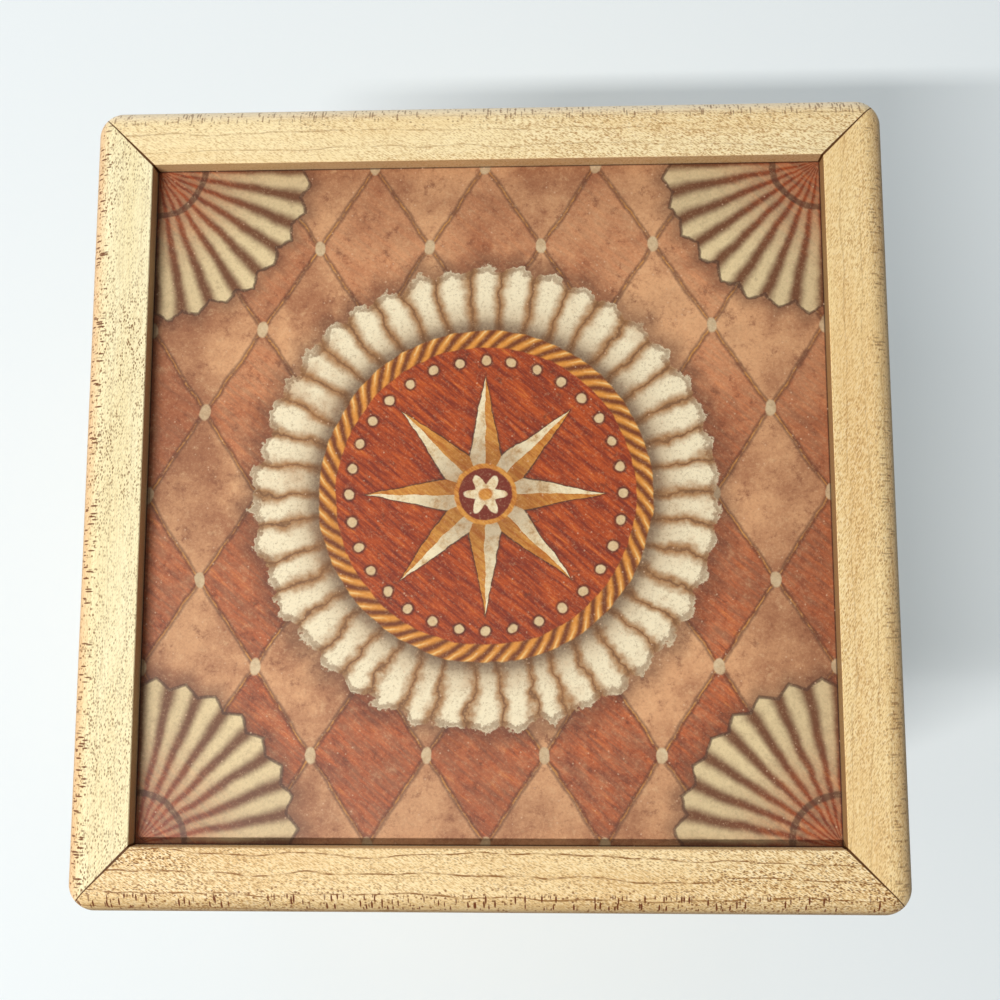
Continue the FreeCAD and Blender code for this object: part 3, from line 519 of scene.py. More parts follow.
    def star(self, colour):
        """A faceted star of eight points, half bone and half gold, with a small flower on its hub."""
        points, valley, tip = 8, 9.5, 27.0
        hub, petals, eye = 6.4, 6, 1.5
        sector = math.pi / points
        share = self.angle / sector
        fold = share.zigzag(1.0) * sector
        spread = fold.math("SINE") * tip + (sector - fold).math("SINE") * valley
        inside = valley * tip * math.sin(sector) / spread - self.radius
        facet = self.mix((share / 2).math("FRACT").smooth(0.49, 0.51), self.bone, self.gold)
        facet = self.mix((self.radius / tip).smooth(0.7, 0.25) * 0.45, facet, "#6E3A1C")
        petal = (self.angle * petals).math("COSINE")
        flower = self.mix((self.radius - 3.6 - petal * 1.2).smooth(-0.25, 0.25), self.bone, "#6E2614")
        return self.coats(
            colour,
            (inside.smooth(-2.5, 0.5) * 0.55, "#2F1209"),
            (inside.smooth(-0.25, 0.25), facet),
            (abs(inside).smooth(0.5, 0.15) * 0.8, "#3A2014"),
            ((hub - self.radius).smooth(-0.2, 0.2), flower),
            (abs(self.radius - hub).smooth(0.7, 0.35), self.gold),
            ((self.radius - eye).smooth(0.3, -0.3), self.gold),
        )

    def age(self, colour):
        """Stains, darker margins, paper grit, a line of painted shade under the frame and dust in the
        varnish.
        """
        stain = self.cloud.smooth(0.54, 0.8) * 0.3 + self.fleck.smooth(0.58, 0.74) * 0.25
        margin = abs(self.x).math("MAXIMUM", abs(self.y)).smooth(48, 80)
        gap = sight - abs(self.true_x).math("MAXIMUM", abs(self.true_y))
        dust, lot = self.cells(self.point, 1.6)
        return self.coats(
            colour,
            (stain, "#6A3F2A"),
            (margin * 0.28, "#5E341F"),
            (self.grit.smooth(0.45, 0.8) * 0.26, "#3B2014"),
            (self.grit.smooth(0.5, 0.2) * 0.22, "#F3D0A2"),
            # Painted shade in the crevice where the print meets the frame's lip.
            (gap.smooth(0.45, 0.1) * 0.85, "#2A0E04"),
            (dust.smooth(0.17, 0.08) * lot.smooth(0.6, 0.7) * 0.45, "#DDB897"),
        )


sheet = Print("printed_panel", Specular_IOR_Level=0.3, Coat_Weight=0.06, Coat_Roughness=0.22)
inks = sheet.ground()
for motif in (sheet.lozenges, sheet.fans, sheet.rosette, sheet.field, sheet.star, sheet.age):
    inks = motif(inks)
printed_panel = sheet.put(
    Base_Color=inks,
    Roughness=0.4 + sheet.fleck * 0.18,
    Normal=sheet.bump(sheet.grit, 0.02, 0.25),
)
dress(printed_panel, "picture_panel")

# Backing and bottom: two plain boards of smooth brown hardboard.
# The backing lies under the print in the lid's rabbet, and the bottom in grooves in the walls.
board = Finish("hardboard")
board_fibre = board.noise(board.place(), 0.9, 4.0, 0.7)
board_cloud = board.noise(board.place(), 30, 3.0)
board_colour = board.mix(board_cloud.smooth(0.3, 0.7), "#8A6445", "#A67E58")
hardboard = board.put(
    Base_Color=board.mix(board_fibre.smooth(0.5, 0.75) * 0.5, board_colour, "#5E4029"),
    Roughness=0.55 + board_fibre * 0.2,
    Normal=board.bump(board_fibre, 0.06, 0.4),
)
dress(hardboard, "backing_board", "bottom_panel")


# Hinge leaves, button, bezel, bush, keeper, their screws, bead pins and bells: brushed brass, a little dull.
# Hinge pins, springs, staples, stem, hook, nut and the jack's own screws are bright drawn steel.
def metal(name, bright, dull, grain, rough):
    made = Finish(name, Metallic=1.0)
    point = made.place()
    brushed = made.noise(point, grain, 3.0, 0.65)
    tarnish = made.noise(point, 7, 4.0, 0.6)
    return made.put(
        Base_Color=made.mix(tarnish.smooth(0.45, 0.75) * 0.7, bright, dull),
        Roughness=rough + brushed * 0.14 + tarnish.smooth(0.45, 0.8) * 0.16,
        Normal=made.bump(brushed, 0.012, 0.3),
    )


def dress_slots(finishes):
    """Gives CAD nodes the finish that is listed for their material slot."""
    for part in frame["record"]["subparts"]:
        if part["material_slot"] in finishes:
            dress(finishes[part["material_slot"]], part["node"])


brass = metal("satin_brass", "#D9B668", "#9C7A3C", (6, 0.12, 0.12), 0.2)
steel = metal("drawn_steel", "#C4C6C8", "#8C8E90", (4, 0.15, 0.15), 0.22)
dress_slots({"brass": brass, "steel": steel})

# Feet: four discs of dark pressed felt, glued under the corners.
# Their nap is short wool, so it is matt with a soft mottle.
felt = Finish("pressed_felt", Roughness=0.95)
felt_nap = felt.noise(felt.place(), 0.35, 4.0, 0.75)
felt_brown = felt.put(
    Base_Color=felt.mix(felt_nap.smooth(0.35, 0.7), "#2B221C", "#57463A"),
    Normal=felt.bump(felt_nap, 0.25, 0.6),
)


def grown(name, tree, values):
    """Runs a Geometry Nodes tree with its inputs set, and keeps the result as a plain mesh object."""
    seed = set_out(f"{name}_seed", bpy.data.meshes.new(f"{name}_seed"))
    modifier = seed.modifiers.new("made", "NODES")
    modifier.node_group = tree
    for key, value in values.items():
        modifier[key] = value
    view = bpy.context.evaluated_depsgraph_get()
    mesh = bpy.data.meshes.new_from_object(seed.evaluated_get(view))
    bpy.data.objects.remove(seed)
    return set_out(name, mesh)


def linked(name, sizes, parts, wires, chain, material):
    """A mesh from a Geometry Nodes tree: its named sizes, its nodes' kinds and settings, and their wires.
    The geometry runs on through a chain of nodes, is shaded smooth and gets its material."""
    tree = bpy.data.node_groups.new(name, "GeometryNodeTree")
    tree.interface.new_socket("Geometry", in_out="OUTPUT", socket_type="NodeSocketGeometry")
    values = {}
    for label, value in sizes.items():
        socket = tree.interface.new_socket(label, in_out="INPUT", socket_type="NodeSocketFloat")
        values[socket.identifier] = value
    made = {"in": tree.nodes.new("NodeGroupInput"), "out": tree.nodes.new("NodeGroupOutput")}
    ends = {
        "smooth": ("GeometryNodeSetShadeSmooth", {}, {}),
        "finish": ("GeometryNodeSetMaterial", {}, {"Material": material}),
    }
    for label, (kind, settings, sockets) in (parts | ends).items():
        made[label] = tree.nodes.new(kind)
        for setting, value in settings.items():
            setattr(made[label], setting, value)
        for socket, value in sockets.items():
            made[label].inputs[socket].default_value = value
    chain = [*chain, *ends, "out"]
    wires = wires + [(start, "Geometry", end, "Geometry") for start, end in zip(chain, chain[1:])]
    for from_node, from_socket, to_node, to_socket in wires:
        tree.links.new(made[from_node].outputs[from_socket], made[to_node].inputs[to_socket])
    return grown(name, tree, values)


def fit(piece, node, body="jack"):
    """Sets a piece on a body in the place of its plain solid, and hides that solid."""
    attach(piece, body)
    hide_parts(node)


foot_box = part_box("felt_feet")
foot_radius, foot_thick = 6.0 * MM, foot_box[1].z - foot_box[0].z
foot_span = foot_box[1].x - foot_box[0].x - 2 * foot_radius
fuzz_depth = 0.2 * MM
felt_pads = linked(
    "felt_pads",
    {"Span": foot_span, "Radius": foot_radius - fuzz_depth / 2, "Thickness": foot_thick},
    {
        "corners": ("GeometryNodeMeshGrid", {}, {"Vertices X": 2, "Vertices Y": 2}),
        "pad": ("GeometryNodeMeshCylinder", {}, {"Vertices": 48, "Side Segments": 5, "Fill Segments": 6}),
        "spread": ("GeometryNodeInstanceOnPoints", {}, {}),
        "real": ("GeometryNodeRealizeInstances", {}, {}),
        "nap": ("ShaderNodeTexNoise", {}, {"Scale": 900.0, "Detail": 2.0}),
        "way": ("GeometryNodeInputNormal", {}, {}),
        "fuzz": ("ShaderNodeVectorMath", {"operation": "MULTIPLY"}, {}),
        "depth": ("ShaderNodeVectorMath", {"operation": "MULTIPLY"}, {1: (fuzz_depth, fuzz_depth, 0.0)}),
        "move": ("GeometryNodeSetPosition", {}, {}),
    },
    [
        ("in", "Span", "corners", "Size X"),
        ("in", "Span", "corners", "Size Y"),
        ("in", "Radius", "pad", "Radius"),
        ("in", "Thickness", "pad", "Depth"),
        ("corners", "Mesh", "spread", "Points"),
        ("pad", "Mesh", "spread", "Instance"),
        ("spread", "Instances", "real", "Geometry"),
        ("way", "Normal", "fuzz", 0),
        ("nap", 0, "fuzz", 1),
        ("fuzz", 0, "depth", 0),
        ("depth", 0, "move", "Offset"),
    ],
    ["real", "move"],
    felt_brown,
)
felt_pads.data.transform(Matrix.Translation((0, 0, (foot_box[0].z + foot_box[1].z) / 2)))
fit(felt_pads, "felt_feet", "box")

# Discs, dowel and hands: turned beech with a plain wax finish.
# The base disc is screwed to the bottom panel, and the dowel joins the shoulder disc to the head.
turned = Finish("turned_beech", Roughness=0.5)
turned_tone = turned.noise(turned.place(), (50, 6, 6), 3.0)
turned_ray, turned_lot = turned.cells(turned.place(), (3.2, 0.8, 0.8))
turned_flecks = turned_ray.smooth(0.34, 0.15) * turned_lot.smooth(0.4, 0.6)
turned_colour = turned.mix(turned_tone.smooth(0.3, 0.7), "#DDBB8C", "#C99F6C")
beech = turned.put(
    Base_Color=turned.mix(turned_flecks * 0.5, turned_colour, "#9A6F42"),
    Normal=turned.bump(turned_flecks, 0.03, 0.3),
)
dress_slots({"beech": beech})

# Pop spring and button spring: drawn steel wire, wound cold into open coils.
# Staples hold the big coil to both discs.
wire_sides = 10


def coil(name, turns, mean_radius, wire_radius, height, steps):
    """A wound wire that rises along Z from the origin, as rings of points in the order of the path."""
    return linked(
        name,
        {"Turns": turns, "Mean radius": mean_radius, "Wire radius": wire_radius, "Height": height},
        {
            "path": ("GeometryNodeCurveSpiral", {}, {"Resolution": steps}),
            "wire": ("GeometryNodeCurvePrimitiveCircle", {}, {"Resolution": wire_sides}),
            "sweep": ("GeometryNodeCurveToMesh", {}, {"Fill Caps": True}),
            "real": ("GeometryNodeRealizeInstances", {}, {}),
        },
        [
            ("in", "Turns", "path", "Rotations"),
            ("in", "Mean radius", "path", "Start Radius"),
            ("in", "Mean radius", "path", "End Radius"),
            ("in", "Height", "path", "Height"),
            ("in", "Wire radius", "wire", "Radius"),
            ("path", "Curve", "sweep", "Curve"),
            ("wire", "Curve", "sweep", "Profile Curve"),
            ("sweep", "Mesh", "real", "Geometry"),
        ],
        ["real"],
        steel,
    )


def hold_coil(piece, node):
    """Bakes a coil's placing into its points and hides the plain solid in its place."""
    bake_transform(piece)
    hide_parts(node)


spring_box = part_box("pop_spring")
spring_wire, spring_turns = 1.0 * MM, 8.25
spring_low, spring_high = spring_box[0].z + spring_wire, spring_box[1].z - spring_wire
spring_mean = spring_box[1].x - spring_wire
pop_spring = coil("pop_spring_wire", spring_turns, spring_mean, spring_wire, spring_high - spring_low, 48)
pop_spring.data.transform(Matrix.Translation((0, 0, spring_low)))
hold_coil(pop_spring, "pop_spring")

button_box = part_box("catch_spring")
button_wire, button_turns = 0.3 * MM, 4.0
button_low, button_high = button_box[0].y + button_wire, button_box[1].y - button_wire
button_mean = (button_box[1].x - button_box[0].x) / 2 - button_wire
button_up = (button_box[0].z + button_box[1].z) / 2
button_long = button_high - button_low
button_spring = coil("button_spring_wire", button_turns, button_mean, button_wire, button_long, 32)
button_lay = Matrix.Translation((0, button_high, button_up)) @ Matrix.Rotation(math.radians(90), 4, "X")
button_spring.data.transform(button_lay)
hold_coil(button_spring, "catch_spring")


# Gown: a tube of printed cotton, sewn into a sleeve and gathered in eight folds round the spring.
# Its hem is tacked to the base disc and its neck to the shoulder disc.
def grid(name, points, across, down, material):
    """A tube of faces through closed rows of points, with lengths in metres as its UV map."""
    rows, columns = points.shape[:2]
    faces, corners = [], []
    for r in range(rows - 1):
        low, high = r * columns, (r + 1) * columns
        for c in range(columns):
            after = (c + 1) % columns
            faces.append((low + c, low + after, high + after, high + c))
            corners += [(across[c], down[r]), (across[c + 1], down[r])]
            corners += [(across[c + 1], down[r + 1]), (across[c], down[r + 1])]
    mesh = bpy.data.meshes.new(name)
    mesh.from_pydata(points.reshape(-1, 3).tolist(), [], faces)
    mesh.uv_layers.new(name="lengths").data.foreach_set("uv", np.asarray(corners, dtype=np.float32).ravel())
    mesh.polygons.foreach_set("use_smooth", [True] * len(faces))
    mesh.materials.append(material)
    return set_out(name, mesh)


def round_about(count):
    """Angles in radians that are spaced evenly round a circle."""
    return np.linspace(0, math.tau, count, endpoint=False)


def ringed(out, turn, up):
    """Points at a distance from the Z axis, at an angle round it and at a height."""
    return np.stack([out * np.cos(turn), out * np.sin(turn), up], axis=-1)


def thicken(piece, thickness, offset=0):
    """Gives a sheet its thickness and keeps the result as its own plain mesh."""
    cloth = piece.modifiers.new("cloth", "SOLIDIFY")
    cloth.thickness = thickness
    cloth.offset = offset
    view = bpy.context.evaluated_depsgraph_get()
    mesh = bpy.data.meshes.new_from_object(piece.evaluated_get(view))
    piece.modifiers.clear()
    piece.data = mesh


def weave(finish, pitch):
    """Lengths across and along the cloth in millimetres, and the height of a plain weave of that pitch."""
    u, v, _ = finish.split(finish.stretch(finish.node("ShaderNodeUVMap", {}, {})[0], MM))
    return u, v, (u / pitch).zigzag() + (v / pitch).zigzag()


gown_rings, gown_folds, fold_steps = 160, 8, 14
gown_in, gown_out, gown_neck, gown_thick = 31.6 * MM, 41.4 * MM, 34.2 * MM, 0.45 * MM
gown_low, gown_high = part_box("gown")[0].z + 0.4 * MM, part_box("gown")[1].z - 0.4 * MM
gather_count, gather_depth, sag_depth, lift_height = 26, 0.45 * MM, 0.35 * MM, 0.25 * MM
fold_share = np.linspace(0, gown_folds, gown_folds * fold_steps + 1)
fold_wave = 0.5 + 0.5 * np.cos(math.tau * fold_share)
last_half = np.clip(fold_share - (gown_folds - 0.5), 0, None)
fold_radius = gown_in + (gown_out - gown_in) * fold_wave - (gown_out - gown_neck) * last_half * 2
fold_up = gown_low + (gown_high - gown_low) * fold_share / gown_folds
gown_turn = round_about(gown_rings)
gathers = gather_depth * np.cos(gather_count * gown_turn) * (0.35 + 0.65 * (1 - fold_wave))[:, None]
uneven = sag_depth * np.cos(5 * gown_turn + 1.7 * np.floor(fold_share)[:, None])
gown_radius = fold_radius[:, None] + gathers + uneven
gown_up = fold_up[:, None] + lift_height * np.sin(9 * gown_turn) * fold_wave[:, None]
gown_points = ringed(gown_radius, gown_turn, gown_up)
gown_steps = np.hypot(np.diff(fold_radius), np.diff(fold_up))
gown_down = np.concatenate([[0], np.cumsum(gown_steps)])
gown_long = float(gown_down[-1])
gown_wide = math.tau * float(fold_radius.mean())

cotton = Finish("gown_cotton", Roughness=0.85, Sheen_Weight=0.25)
cotton_u, cotton_v, cotton_weave = weave(cotton, 0.55)
lozenges_round, lozenges_down = 10, 5
lozenge_wide, lozenge_tall = gown_wide / MM / lozenges_round, gown_long / MM / lozenges_down
cotton_odd, cotton_near = lozenge_net(cotton_u, cotton_v, lozenge_wide, lozenge_tall)
cotton_seams = [near.smooth(0.05, 0.03) for near in cotton_near]
cotton_wear = cotton.noise(cotton.place(), 5, 4.0, 0.6)
cotton_colour = cotton.coats(
    cotton.mix(cotton_odd, "#D6B273", "#8E3420"),
    (cotton_seams[0].math("MAXIMUM", cotton_seams[1]) * 0.8, "#3B2A1E"),
    (cotton_weave.smooth(0.2, 0.9) * 0.25, "#F0DFC0"),
    (cotton_wear.smooth(0.5, 0.8) * 0.3, "#5C3A28"),
)
gown_cotton = cotton.put(Base_Color=cotton_colour, Normal=cotton.bump(cotton_weave, 0.12, 0.6))
gown = grid("gown_sleeve", gown_points, np.linspace(0, gown_wide, gown_rings + 1), gown_down, gown_cotton)
thicken(gown, gown_thick)
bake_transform(gown)
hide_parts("gown")

# Ruff: a long strip of cream cotton, pleated round the neck into a stiff wavy collar with a gold bound edge.
# It is gathered on a thread round the dowel, above the shoulder disc.
ruff_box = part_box("ruff")
ruff_middle = (ruff_box[0].z + ruff_box[1].z) / 2
ruff_in, ruff_out, ruff_thick = 7.8 * MM, ruff_box[1].x - 0.2 * MM, 0.5 * MM
ruff_pleats, ruff_rings, ruff_rows = 18, 540, 26
ruff_deep = ruff_out - ruff_in
ruff_turn = round_about(ruff_rings)
ruff_share = np.linspace(0, 1, ruff_rows)
ruff_pleat = ruff_pleats * ruff_turn
ruff_lift = (1.0 + 4.9 * ruff_share ** 0.8) * MM
ruff_swing = 0.32 * ruff_share * (math.tau / ruff_pleats) / 2
ruff_angle = ruff_turn + ruff_swing[:, None] * np.sin(2 * ruff_pleat)
ruff_fray, ruff_worn = 0.6 * MM, (ruff_share ** 6)[:, None]
ruff_ragged = ruff_fray * np.sin(3.3 * ruff_pleat + 1.1 * np.sin(7 * ruff_turn)) * ruff_worn
ruff_far = (ruff_in + ruff_deep * ruff_share)[:, None] + ruff_ragged - ruff_fray * ruff_worn
ruff_up = ruff_middle + ruff_lift[:, None] * np.sin(ruff_pleat) * (1 + 0.06 * np.sin(5 * ruff_turn))
ruff_points = ringed(ruff_far, ruff_angle, ruff_up)
ruff_edge = ruff_points[-1]
ruff_long = float(np.linalg.norm(np.roll(ruff_edge, -1, 0) - ruff_edge, axis=1).sum())

linen = Finish("ruff_cotton", Roughness=0.9, Sheen_Weight=0.3)
linen_u, linen_v, linen_weave = weave(linen, 0.5)
binding, stitch_row, stitch_pitch = ruff_deep / MM - 2.4, ruff_deep / MM - 3.4, 1.9
linen_stain = linen.noise(linen.place(), 9, 4.0, 0.65)
bound = (linen_v - binding).smooth(-0.15, 0.15)
stitches = (linen_u / stitch_pitch).math("FRACT").smooth(0.3, 0.38)
stitches = stitches * abs(linen_v - stitch_row).smooth(0.34, 0.2)
linen_colour = linen.coats(
    linen.mix(linen_stain.smooth(0.4, 0.7), "#EFE3C6", "#DCC79C"),
    (linen_weave.smooth(0.15, 0.9) * 0.2, "#FBF4E2"),
    (bound, "#B9822F"),
    (stitches * 0.9, "#8A5A1E"),
)
linen_height = linen_weave * 0.4 + bound + stitches
ruff_cotton = linen.put(Base_Color=linen_colour, Normal=linen.bump(linen_height, 0.2, 0.5))
ruff_across = np.linspace(0, ruff_long, ruff_rings + 1)
ruff = grid("ruff_collar", ruff_points, ruff_across, ruff_share * ruff_deep, ruff_cotton)
thicken(ruff, ruff_thick)
fit(ruff, "ruff")


# Arms: stuffed sleeves of rust cotton velvet, sewn along the bend and tacked to the shoulder disc's rim.
# A gold cuff is turned up at each wrist, and the wooden hand is glued into it.
def velvet(name, deep, light, cuff=None):
    """Short-piled cloth whose nap lies unevenly, with a cuff of another colour past a length along it."""
    pile = Finish(name, Roughness=0.9, Sheen_Weight=0.22, Sheen_Roughness=0.5)
    u, v, knit = weave(pile, 0.7)
    nap = pile.noise(pile.place(), 2.4, 5.0, 0.65)
    crush = pile.noise(pile.place((40, 7, 3)), 9, 3.0, 0.55)
    colour = pile.mix(nap.smooth(0.35, 0.7) * 0.6 + crush.smooth(0.45, 0.7) * 0.4, deep, light)
    if cuff:
        past, cuff_colour = cuff
        hem = (v - past).smooth(-0.2, 0.2)
        colour = pile.coats(colour, (hem, cuff_colour), (abs(v - past).smooth(0.5, 0.2), "#4A2A18"))
        nap = nap + hem * 0.6
    seam = u.smooth(0.55, 0.2)
    colour = pile.mix(seam * 0.6, colour, "#3E1A10")
    return pile.put(Base_Color=colour, Normal=pile.bump(nap + knit * 0.3 - seam, 0.35, 0.55))


def bent(*spans):
    """Angles in radians along a bent tube, from spans that each give a first, a last and how many."""
    return np.radians(np.concatenate([np.linspace(*span) for span in spans]))


def rounded(radii, steps=6):
    """Adds shares of the first and last radius that close each end like a bag."""
    falls = np.sin(np.linspace(0, math.pi / 2, steps))
    return np.concatenate([radii[0] * falls[:-1], radii, radii[-1] * falls[::-1][1:]])


def stuffed(name, path, radii, side, creases, material):
    """A sewn tube along a path, rounded shut at both ends, with folds that bunch inside its bend."""
    columns, lump_depth, seam_depth, seam_width, seam_from = 40, 0.35 * MM, 0.5 * MM, 0.12, 2 * MM
    turn = round_about(columns)
    way = np.gradient(path, axis=0)
    inner = np.cross(side, way / np.linalg.norm(way, axis=1)[:, None])
    length = np.concatenate([[0], np.cumsum(np.linalg.norm(np.diff(path, axis=0), axis=1))])
    share = (length / length[-1])[:, None]
    swell = np.sin(math.pi * share)
    bunch = np.clip(np.cos(turn), 0, 1) ** 1.5
    crease = np.sin(creases * math.tau * share) * bunch * swell ** 0.5
    lump = lump_depth * np.sin(3 * turn + 9 * share) * swell
    seam = seam_depth * np.exp(-((turn - math.pi) / seam_width) ** 2) * (radii > seam_from)[:, None]
    radius = (radii[:, None] * (1 + 0.07 * crease) + lump - seam)[:, :, None]
    spokes = np.cos(turn)[:, None] * inner[:, None, :] + np.sin(turn)[:, None] * side
    around = math.tau * float(np.mean(radii))
    across = around / 2 - np.abs(np.linspace(-around / 2, around / 2, columns + 1))
    return grid(name, path[:, None, :] + radius * spokes, across, length, material)


def places(piece):
    return np.array([vertex.co for vertex in piece.data.vertices])


def close(piece):
    """Merges the points of each rounded end and turns every face outwards."""
    work = bmesh.new()
    work.from_mesh(piece.data)
    bmesh.ops.remove_doubles(work, verts=work.verts, dist=0.02 * MM)
    bmesh.ops.recalc_face_normals(work, faces=work.faces)
    work.to_mesh(piece.data)
    work.free()


shoulder_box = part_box("shoulder_disc")
shoulder_edge, shoulder_low = shoulder_box[1].x, shoulder_box[0].z
arm_steps, arm_bend, arm_wrist = 40, 18 * MM, 31.0
arm_middle = np.array([shoulder_edge + 6 * MM, 0, shoulder_low - 16 * MM])
arm_angles = bent((116, 105, 5), (102, -10, arm_steps), (-10.5, -12, 5))
arm_bow = np.stack([np.cos(arm_angles), 0 * arm_angles, np.sin(arm_angles)], axis=1)
arm_share = np.linspace(0, 1, arm_steps)
arm_radii = (7 - arm_share + np.sin(math.pi * arm_share)) * MM
arm_velvet = velvet("arm_velvet", "#7E2C1A", "#B4502F", cuff=(arm_wrist, "#C08A3E"))
for sign, name in ((1, "right"), (-1, "left")):
    arm_path = arm_middle + arm_bend * arm_bow
    arm_path[:, 0] *= sign
    arm_side = np.array([0.0, sign, 0.0])
    arm = stuffed(f"arm_{name}_sleeve", arm_path, rounded(arm_radii), arm_side, 9, arm_velvet)
    arm_points = places(arm)
    arm_out = np.hypot(arm_points[:, 0], arm_points[:, 1])
    below = arm_points[:, 2] < shoulder_low + 0.2 * MM
    least_out = np.where(below, gown_out + 1.2 * MM, shoulder_edge + 0.1 * MM)
    arm_points[:, :2] *= np.maximum(1, least_out / arm_out)[:, None]
    arm.data.vertices.foreach_set("co", arm_points.ravel())
    close(arm)
    fit(arm, f"arm_{name}")

# Head and nose: turned wood under hand painted enamel, cream with rosy cheeks and a red ball nose.
# The eyes are black enamelled domes pressed into the head.
head_middle, head_radius = Vector((0, 0, 103.5)), 30


def face_enamel():
    """A painted doll's face, laid out in degrees to each side of its middle and above the head's middle."""
    eye_side, eye_height, cheek_side, cheek_height = 21, 10.5, 33, -11
    brow_side, brow_height, brow_half, smile_height = 22, 27, 12.5, -29
    degrees = 180 / math.pi
    enamel = Finish("face_enamel", Coat_Weight=0.5, Coat_Roughness=0.18)
    point = enamel.place(tuple(-head_middle))
    x, y, z = enamel.split(point)
    side = abs(x.math("ARCTAN2", y * -1) * degrees)
    height = (z / head_radius).math("ARCSINE") * degrees
    brush = enamel.noise(point, (1.2, 6, 1.2), 4.0, 0.6)
    cloud = enamel.noise(point, 14, 3.0)
    cheek = ((side - cheek_side).square() + (height - cheek_height).square()).smooth(230, 30)
    eye = (side - eye_side).square() / 1.6 + (height - eye_height).square()
    lid_line = abs(eye - 62).smooth(9, 4) * height.smooth(9, 12)
    brow_rise = brow_height - (side - brow_side).square() * 0.028
    brow = abs(height - brow_rise).smooth(1.7, 1.0)
    brow = brow * abs(side - brow_side).smooth(brow_half, brow_half - 1.5)
    smile = smile_height + side.square() * 0.011
    lips = abs(height - smile).smooth(3.3, 2.5) * side.smooth(23, 19)
    lip_line = abs(height - smile - 0.2).smooth(0.75, 0.35) * side.smooth(24, 22)
    colour = enamel.coats(
        enamel.mix(cloud.smooth(0.35, 0.7), "#F2E2CB", "#E8CFAF"),
        (brush.smooth(0.5, 0.8) * 0.25, "#D9B78F"),
        (cheek * 0.7, "#C65F44"),
        (eye.smooth(66, 58), "#F8F2E6"),
        (lid_line, "#3A241A"),
        (brow, "#4A2C1C"),
        (lips, "#A23526"),
        (lip_line, "#4E1812"),
    )
    return enamel.put(
        Base_Color=colour,
        Roughness=0.32 + brush * 0.14,
        Normal=enamel.bump(brush, 0.05, 0.3),
    )


def enamel_paint(name, deep, light):
    coat = Finish(name, Coat_Weight=0.6, Coat_Roughness=0.12)
    brush = coat.noise(coat.place(), (1.0, 4, 1.0), 4.0, 0.6)
    return coat.put(
        Base_Color=coat.mix(brush.smooth(0.35, 0.7), deep, light),
        Roughness=0.25 + brush * 0.15,
        Normal=coat.bump(brush, 0.03, 0.3),
    )


dress_slots({
    "face_paint": face_enamel(),
    "red_paint": enamel_paint("red_enamel", "#8E2418", "#B43A26"),
    "black_enamel": enamel_paint("black_enamel", "#0E0C0B", "#241F1C"),
})

# Cap: a felt crown in six gores with a rolled band, and three stuffed points that curl out and end in bells.
# The crown is glued to the head and pushed back from the face, and the band and points are sewn to it.
crown_radius, crown_level, crown_thick, cap_tilt = 32.8 * MM, 8.0 * MM, 1.6 * MM, -20
cap_turn = np.array(Matrix.Rotation(math.radians(cap_tilt), 3, "X"))
cap_middle = np.array(head_middle) * MM


def on_head(points):
    """Turns points that are given round an upright head's middle to the tilt of the cap."""
    return points @ cap_turn.T + cap_middle


def off_crown(points, gap):
    """Pushes points straight out from the head's middle until they clear the crown by a gap."""
    far = np.linalg.norm(points - cap_middle, axis=-1, keepdims=True)
    return cap_middle + (points - cap_middle) * np.maximum(1, (crown_radius + gap) / far)


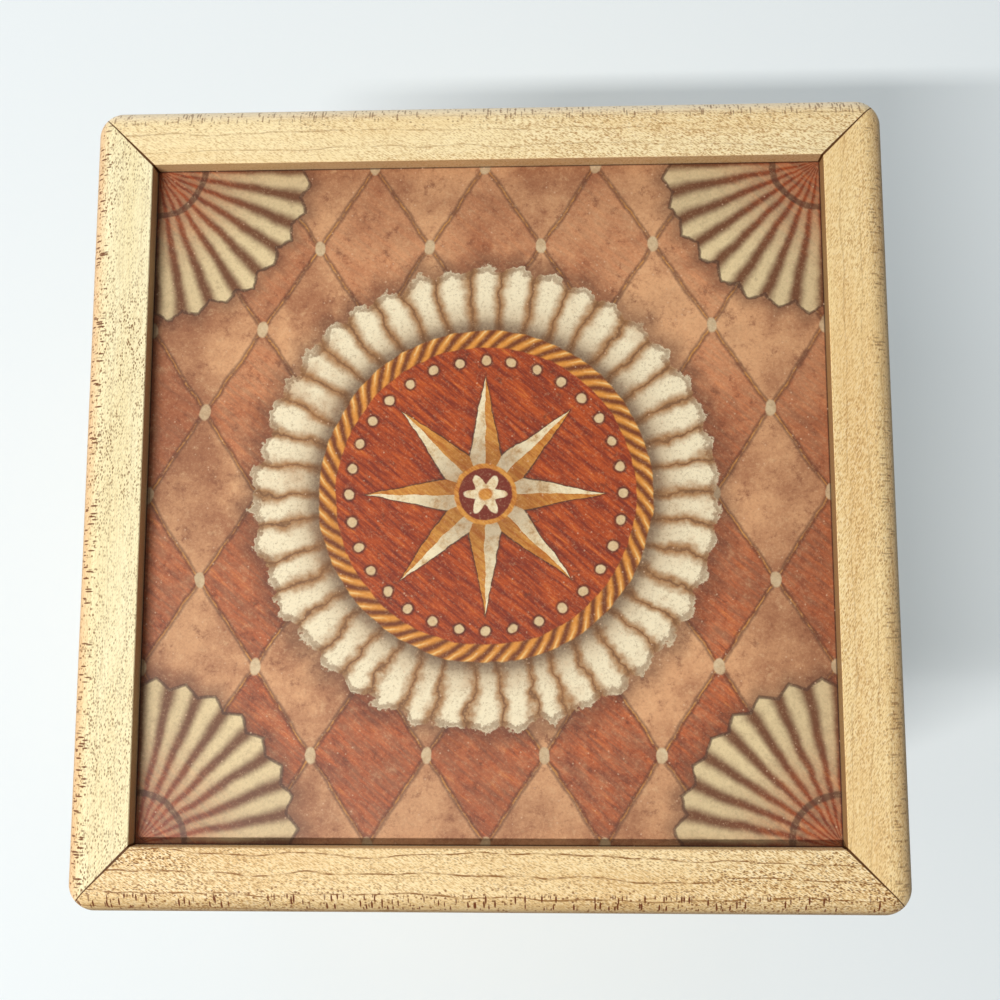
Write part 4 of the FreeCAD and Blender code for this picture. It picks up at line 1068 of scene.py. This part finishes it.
cap_felts = {
    "red_cloth": velvet("red_felt", "#8A2A1A", "#B5472C"),
    "gold_cloth": velvet("gold_felt", "#B07A2C", "#D9A94F"),
    "brown_cloth": velvet("brown_felt", "#4F3322", "#7C5638"),
}
crown_rows, crown_columns, gores, gore_depth = 34, 144, 6, 0.7 * MM
crown_lift = np.linspace(math.asin(crown_level / crown_radius) - 0.06, math.pi / 2, crown_rows)
crown_turn = round_about(crown_columns)
gore_seam = gore_depth * (1 - np.abs(np.sin(gores * crown_turn / 2)) ** 0.35)
crown_out = crown_radius - 0.1 * MM - gore_seam * np.cos(crown_lift)[:, None]
crown_level_out, crown_up = crown_out * np.cos(crown_lift)[:, None], crown_out * np.sin(crown_lift)[:, None]
crown_points = on_head(ringed(crown_level_out, crown_turn, crown_up))
crown_across = np.linspace(0, math.tau * crown_radius, crown_columns + 1)
crown = grid("cap_crown", crown_points, crown_across, crown_lift * crown_radius, cap_felts["red_cloth"])
close(crown)
thicken(crown, crown_thick, -1)
fit(crown, "hat_crown")

band_major, band_minor, band_columns, band_rows, band_twists = 33.5 * MM, 2.7 * MM, 120, 25, 30
band_turn = round_about(band_columns)
band_round = np.linspace(0, math.tau, band_rows)
band_thick = band_minor * (1 + 0.05 * np.sin(band_twists * band_turn))
band_out = band_major + np.cos(band_round)[:, None] * band_thick
band_up = crown_level + np.sin(band_round)[:, None] * band_thick
band_points = on_head(ringed(band_out, band_turn, band_up))
band_across = np.linspace(0, math.tau * band_major, band_columns + 1)
band_down = band_round * band_minor
band = grid("cap_band", off_crown(band_points, 0.05 * MM), band_across, band_down, cap_felts["gold_cloth"])
close(band)
fit(band, "hat_band")

point_steps, point_bend, point_middle_out, point_middle_up = 44, 22 * MM, 35 * MM, 2.5 * MM
point_radii = (13 - 9.5 * np.linspace(0, 1, point_steps)) * MM
cap_points = (
    ("right", 0, -30, "gold_cloth"),
    ("back", 90, 20, "brown_cloth"),
    ("left", 180, -30, "red_cloth"),
)
for name, azimuth, end, felt_slot in cap_points:
    point_angles = bent((152, 141, 5), (140, end, point_steps), (end - 1, end - 5, 5))
    point_out = point_middle_out + point_bend * np.cos(point_angles)
    point_up = point_middle_up + point_bend * np.sin(point_angles)
    point_turn, point_felt = math.radians(azimuth), cap_felts[felt_slot]
    point_path = on_head(ringed(point_out, point_turn, point_up))
    point_side = cap_turn @ np.array([-math.sin(point_turn), math.cos(point_turn), 0])
    point = stuffed(f"cap_point_{name}", point_path, rounded(point_radii), point_side, 8, point_felt)
    point.data.vertices.foreach_set("co", off_crown(places(point), -0.35 * MM).ravel())
    close(point)
    fit(point, f"hat_point_{name}")
